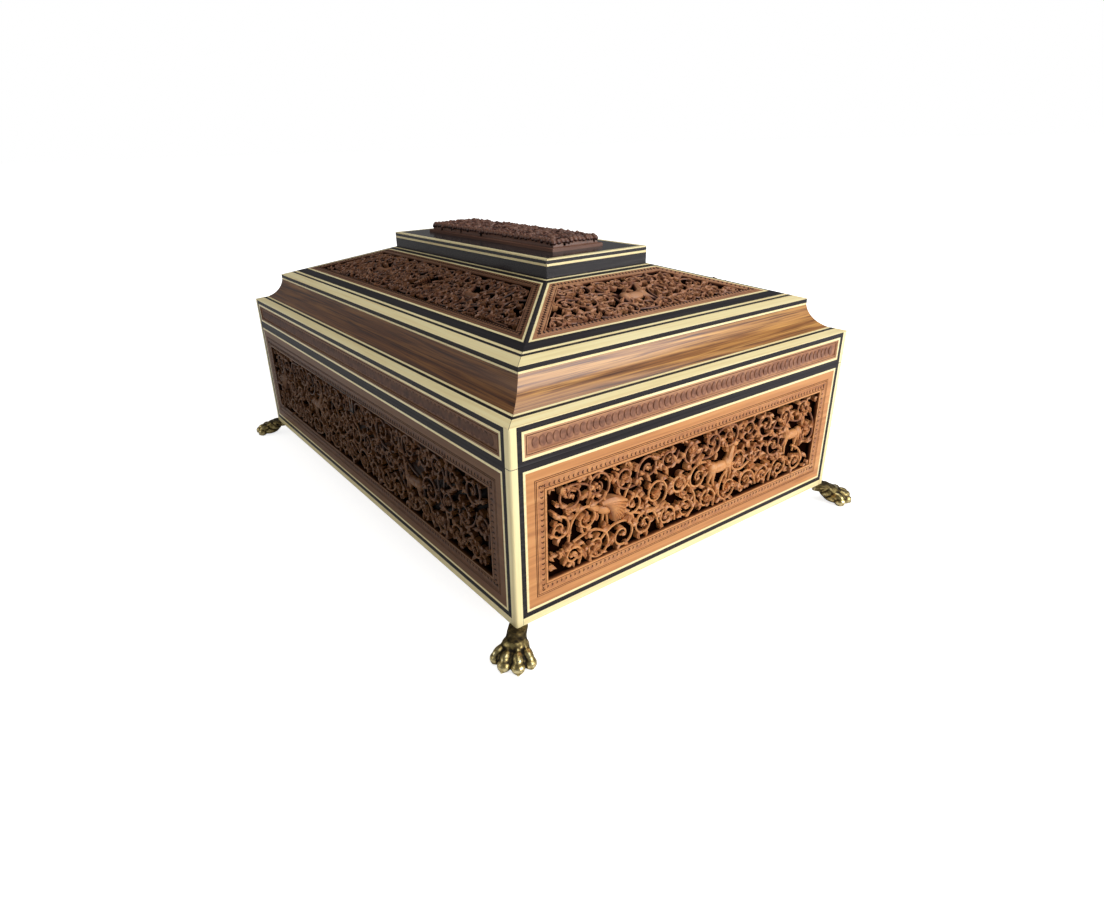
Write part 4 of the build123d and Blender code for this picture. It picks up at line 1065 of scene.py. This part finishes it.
for _ in range(lump_count):
    spot = (wild.uniform(-crown_x, crown_x), wild.uniform(-crown_y, crown_y), wild.uniform(-0.9, -0.3))
    add_lump(spot, (wild.uniform(1.6, 3.2), wild.uniform(1.0, 1.6), 1.0), wild.uniform(0, 3.14))
for edge in (-1, 1):
    for step in range(int(2 * (half_x - boss_start) // boss_pitch) + 1):
        along = boss_start - half_x + boss_pitch * step + wild.uniform(-0.5, 0.5)
        spot = (along, edge * (half_y - body_in - boss_in), wild.uniform(-0.8, -0.2))
        add_lump(spot, (1.8, 1.3, wild.uniform(1.0, 1.7)), wild.uniform(-0.6, 0.6))
    for step in range(int(2 * (half_y - boss_start) // boss_pitch) + 1):
        along = boss_start - half_y + boss_pitch * step + wild.uniform(-0.5, 0.5)
        spot = (edge * (half_x - body_in - boss_in), along, wild.uniform(-0.8, -0.2))
        add_lump(spot, (1.3, 1.8, wild.uniform(1.0, 1.7)), wild.uniform(-0.6, 0.6))
for step in range(rosette_petals):
    carve(crown, petal, place_at(0, 0, 0.1, step * math.tau / rosette_petals, 5.4))
# Painted shade on the crown, darker the deeper it lies.
sunk = crown.verts.layers.float["sunk"]
for vert in crown.verts:
    vert[sunk] = min(1.0, vert[sunk] + max(0.0, -vert.co.z / crown_depth))
    domed = (1 - min(1, abs(vert.co.y / half_y)) ** 5) * (1 - min(1, abs(vert.co.x / half_x)) ** 16)
    vert.co.z += crown_rise * domed
crown_top = max(vert.co.z for vert in crown.verts)
crown_mesh = as_mesh(crown, "crown")
carve(bm, crown_mesh, Matrix.Translation((0, 0, plaque_high - plaque_low - base_rise - crown_top)))
field["bm"] = bm
field["board_verts"] = len(bm.verts)
place = Matrix.Translation((0, 0, (plaque_low + base_rise) * mm)) @ Matrix.Scale(mm, 4)
bm.verts.index_update()
finish_carving(field, "carved_plaque", "plaque", "lid", place, plaque_wood)
for mesh in (crown_mesh, lump):
    bpy.data.meshes.remove(mesh)

# Tray. Thin waxed sandalwood boards, paler than the carved work because no light
# reaches them, with two loose covers over the end compartments.
tray_stops = [(0.3, (0.42, 0.22, 0.10)), (0.5, (0.56, 0.33, 0.16)), (0.75, (0.66, 0.42, 0.22))]
tray_wood = plain_wood("tray_wood", tray_stops, roughness=0.5, framed=False)
dress(tray_wood, "tray_bottom", "tray_sides", "tray_dividers", "tray_cover_ledges")
dress(tray_wood, "tray_cover_left", "tray_cover_right")

# Metalwork. Filed brass butts, pins, screws and lock, an iron bolt, and the silvered
# glass in the lid.


def metal(name, colour, dull, roughness):
    """Worn metal: bright where rubbed, duller in patches."""
    material, tree, shader = start_material(name, roughness)
    place = in_box(tree)
    patches = ramp(tree, noise(tree, place, scale=420.0, detail=5.0), [(0.35, dull), (0.6, colour)])
    tree.links.new(patches, shader.inputs["Base Color"])
    scratches = streaks(tree, place, along=150.0, across=3600.0, detail=2.0)
    bumped(tree, shader, scratches, distance=0.02 * mm, strength=0.3)
    shader.inputs["Metallic"].default_value = 1.0
    return material


brass = metal("brass", colour=(0.74, 0.56, 0.26), dull=(0.50, 0.35, 0.14), roughness=0.3)
dress(brass, "hinge_case_leaves", "hinge_lid_leaves", "hinge_pins", "lock_case", "lock_link_plate")
dress(brass, "case_screws", "lid_screws", "foot_screws")
iron = metal("iron", colour=(0.46, 0.45, 0.43), dull=(0.26, 0.25, 0.24), roughness=0.35)
dress(iron, "lock_bolt")
silvered, tree, shader = start_material("silvered_glass", roughness=0.03)
place = in_box(tree)
foxing_stops = [(0.24, (0.55, 0.52, 0.46)), (0.34, (0.86, 0.88, 0.88))]
foxing = ramp(tree, noise(tree, place, scale=60.0, detail=8.0), foxing_stops)
tree.links.new(foxing, shader.inputs["Base Color"])
shader.inputs["Metallic"].default_value = 1.0
dress(silvered, "lid_mirror")

# Camera. It stands where the photograph's did, a little above the near corner, with
# the lens that the corners of the box give for an image of 1104 by 900.
camera_place = (0.33784, -0.22791, 0.18747)
camera_turn = (65.293, 1.424, 53.917)
camera_lens = 22.666
camera_shift = (0.01814, 0.00961)
camera_data = bpy.data.cameras.new("camera")
camera_data.lens = camera_lens
camera_data.sensor_width = 36.0
camera_data.sensor_fit = "HORIZONTAL"
camera_data.shift_x, camera_data.shift_y = camera_shift
camera_data.clip_start = 0.01
camera = bpy.data.objects.new("camera", camera_data)
camera.location = camera_place
camera.rotation_euler = [math.radians(angle) for angle in camera_turn]
bpy.context.scene.collection.objects.link(camera)
bpy.context.scene.camera = camera

# Studio. A pale floor that keeps a soft shadow, a white surround, a broad window to
# the right of the box that lights its short end, and weaker ones above and in front.
bpy.ops.mesh.primitive_plane_add(size=40.0, location=(0, 0, 0))
floor = bpy.context.object
floor.name = "floor"
floor_material, tree, shader = start_material("floor", roughness=0.9)
shader.inputs["Base Color"].default_value = (0.9, 0.9, 0.9, 1)
camera_ray = put(tree, "ShaderNodeLightPath").outputs["Is Camera Ray"]
place = in_box(tree)
away = put(tree, "ShaderNodeVectorMath", {0: place}, operation="LENGTH").outputs["Value"]
spread = {"Value": away, "From Min": 0.22, "From Max": 0.7, "To Min": 0.8, "To Max": 1.0}
lift = put(tree, "ShaderNodeMapRange", spread, interpolation_type="SMOOTHSTEP").outputs["Result"]
shader.inputs["Emission Color"].default_value = (1, 1, 1, 1)
tree.links.new(math_node(tree, "MULTIPLY", camera_ray, lift), shader.inputs["Emission Strength"])
floor.data.materials.append(floor_material)

world = bpy.data.worlds.new("surround")
world.use_nodes = True
bpy.context.scene.world = world
tree = world.node_tree
background = tree.nodes["Background"]
paths = put(tree, "ShaderNodeLightPath")
seen = math_node(tree, "MAXIMUM", paths.outputs["Is Camera Ray"], paths.outputs["Is Transmission Ray"])
surround_light = 0.16
surround = math_node(tree, "MAXIMUM", seen, surround_light)
tree.links.new(surround, background.inputs["Strength"])
background.inputs["Color"].default_value = (1, 1, 1, 1)


def window(name, place, aim, size, power):
    """A rectangular area lamp at a place, turned towards a point."""
    data = bpy.data.lights.new(name, "AREA")
    data.shape = "RECTANGLE"
    data.size, data.size_y = size
    data.energy = power
    lamp = bpy.data.objects.new(name, data)
    lamp.location = place
    lamp.rotation_euler = (Vector(aim) - Vector(place)).to_track_quat("-Z", "Y").to_euler()
    bpy.context.scene.collection.objects.link(lamp)


window("window_right", (1.3, 0.5, 0.55), aim=(0, 0, 0.06), size=(1.3, 1.0), power=20.0)
window("window_top", (0.3, 0.5, 1.5), aim=(0, 0, 0.1), size=(1.4, 1.0), power=9.5)
window("window_front", (-0.6, -1.4, 0.7), aim=(0, 0, 0.06), size=(1.2, 0.8), power=4.6)
bpy.context.scene.view_settings.view_transform = "Standard"
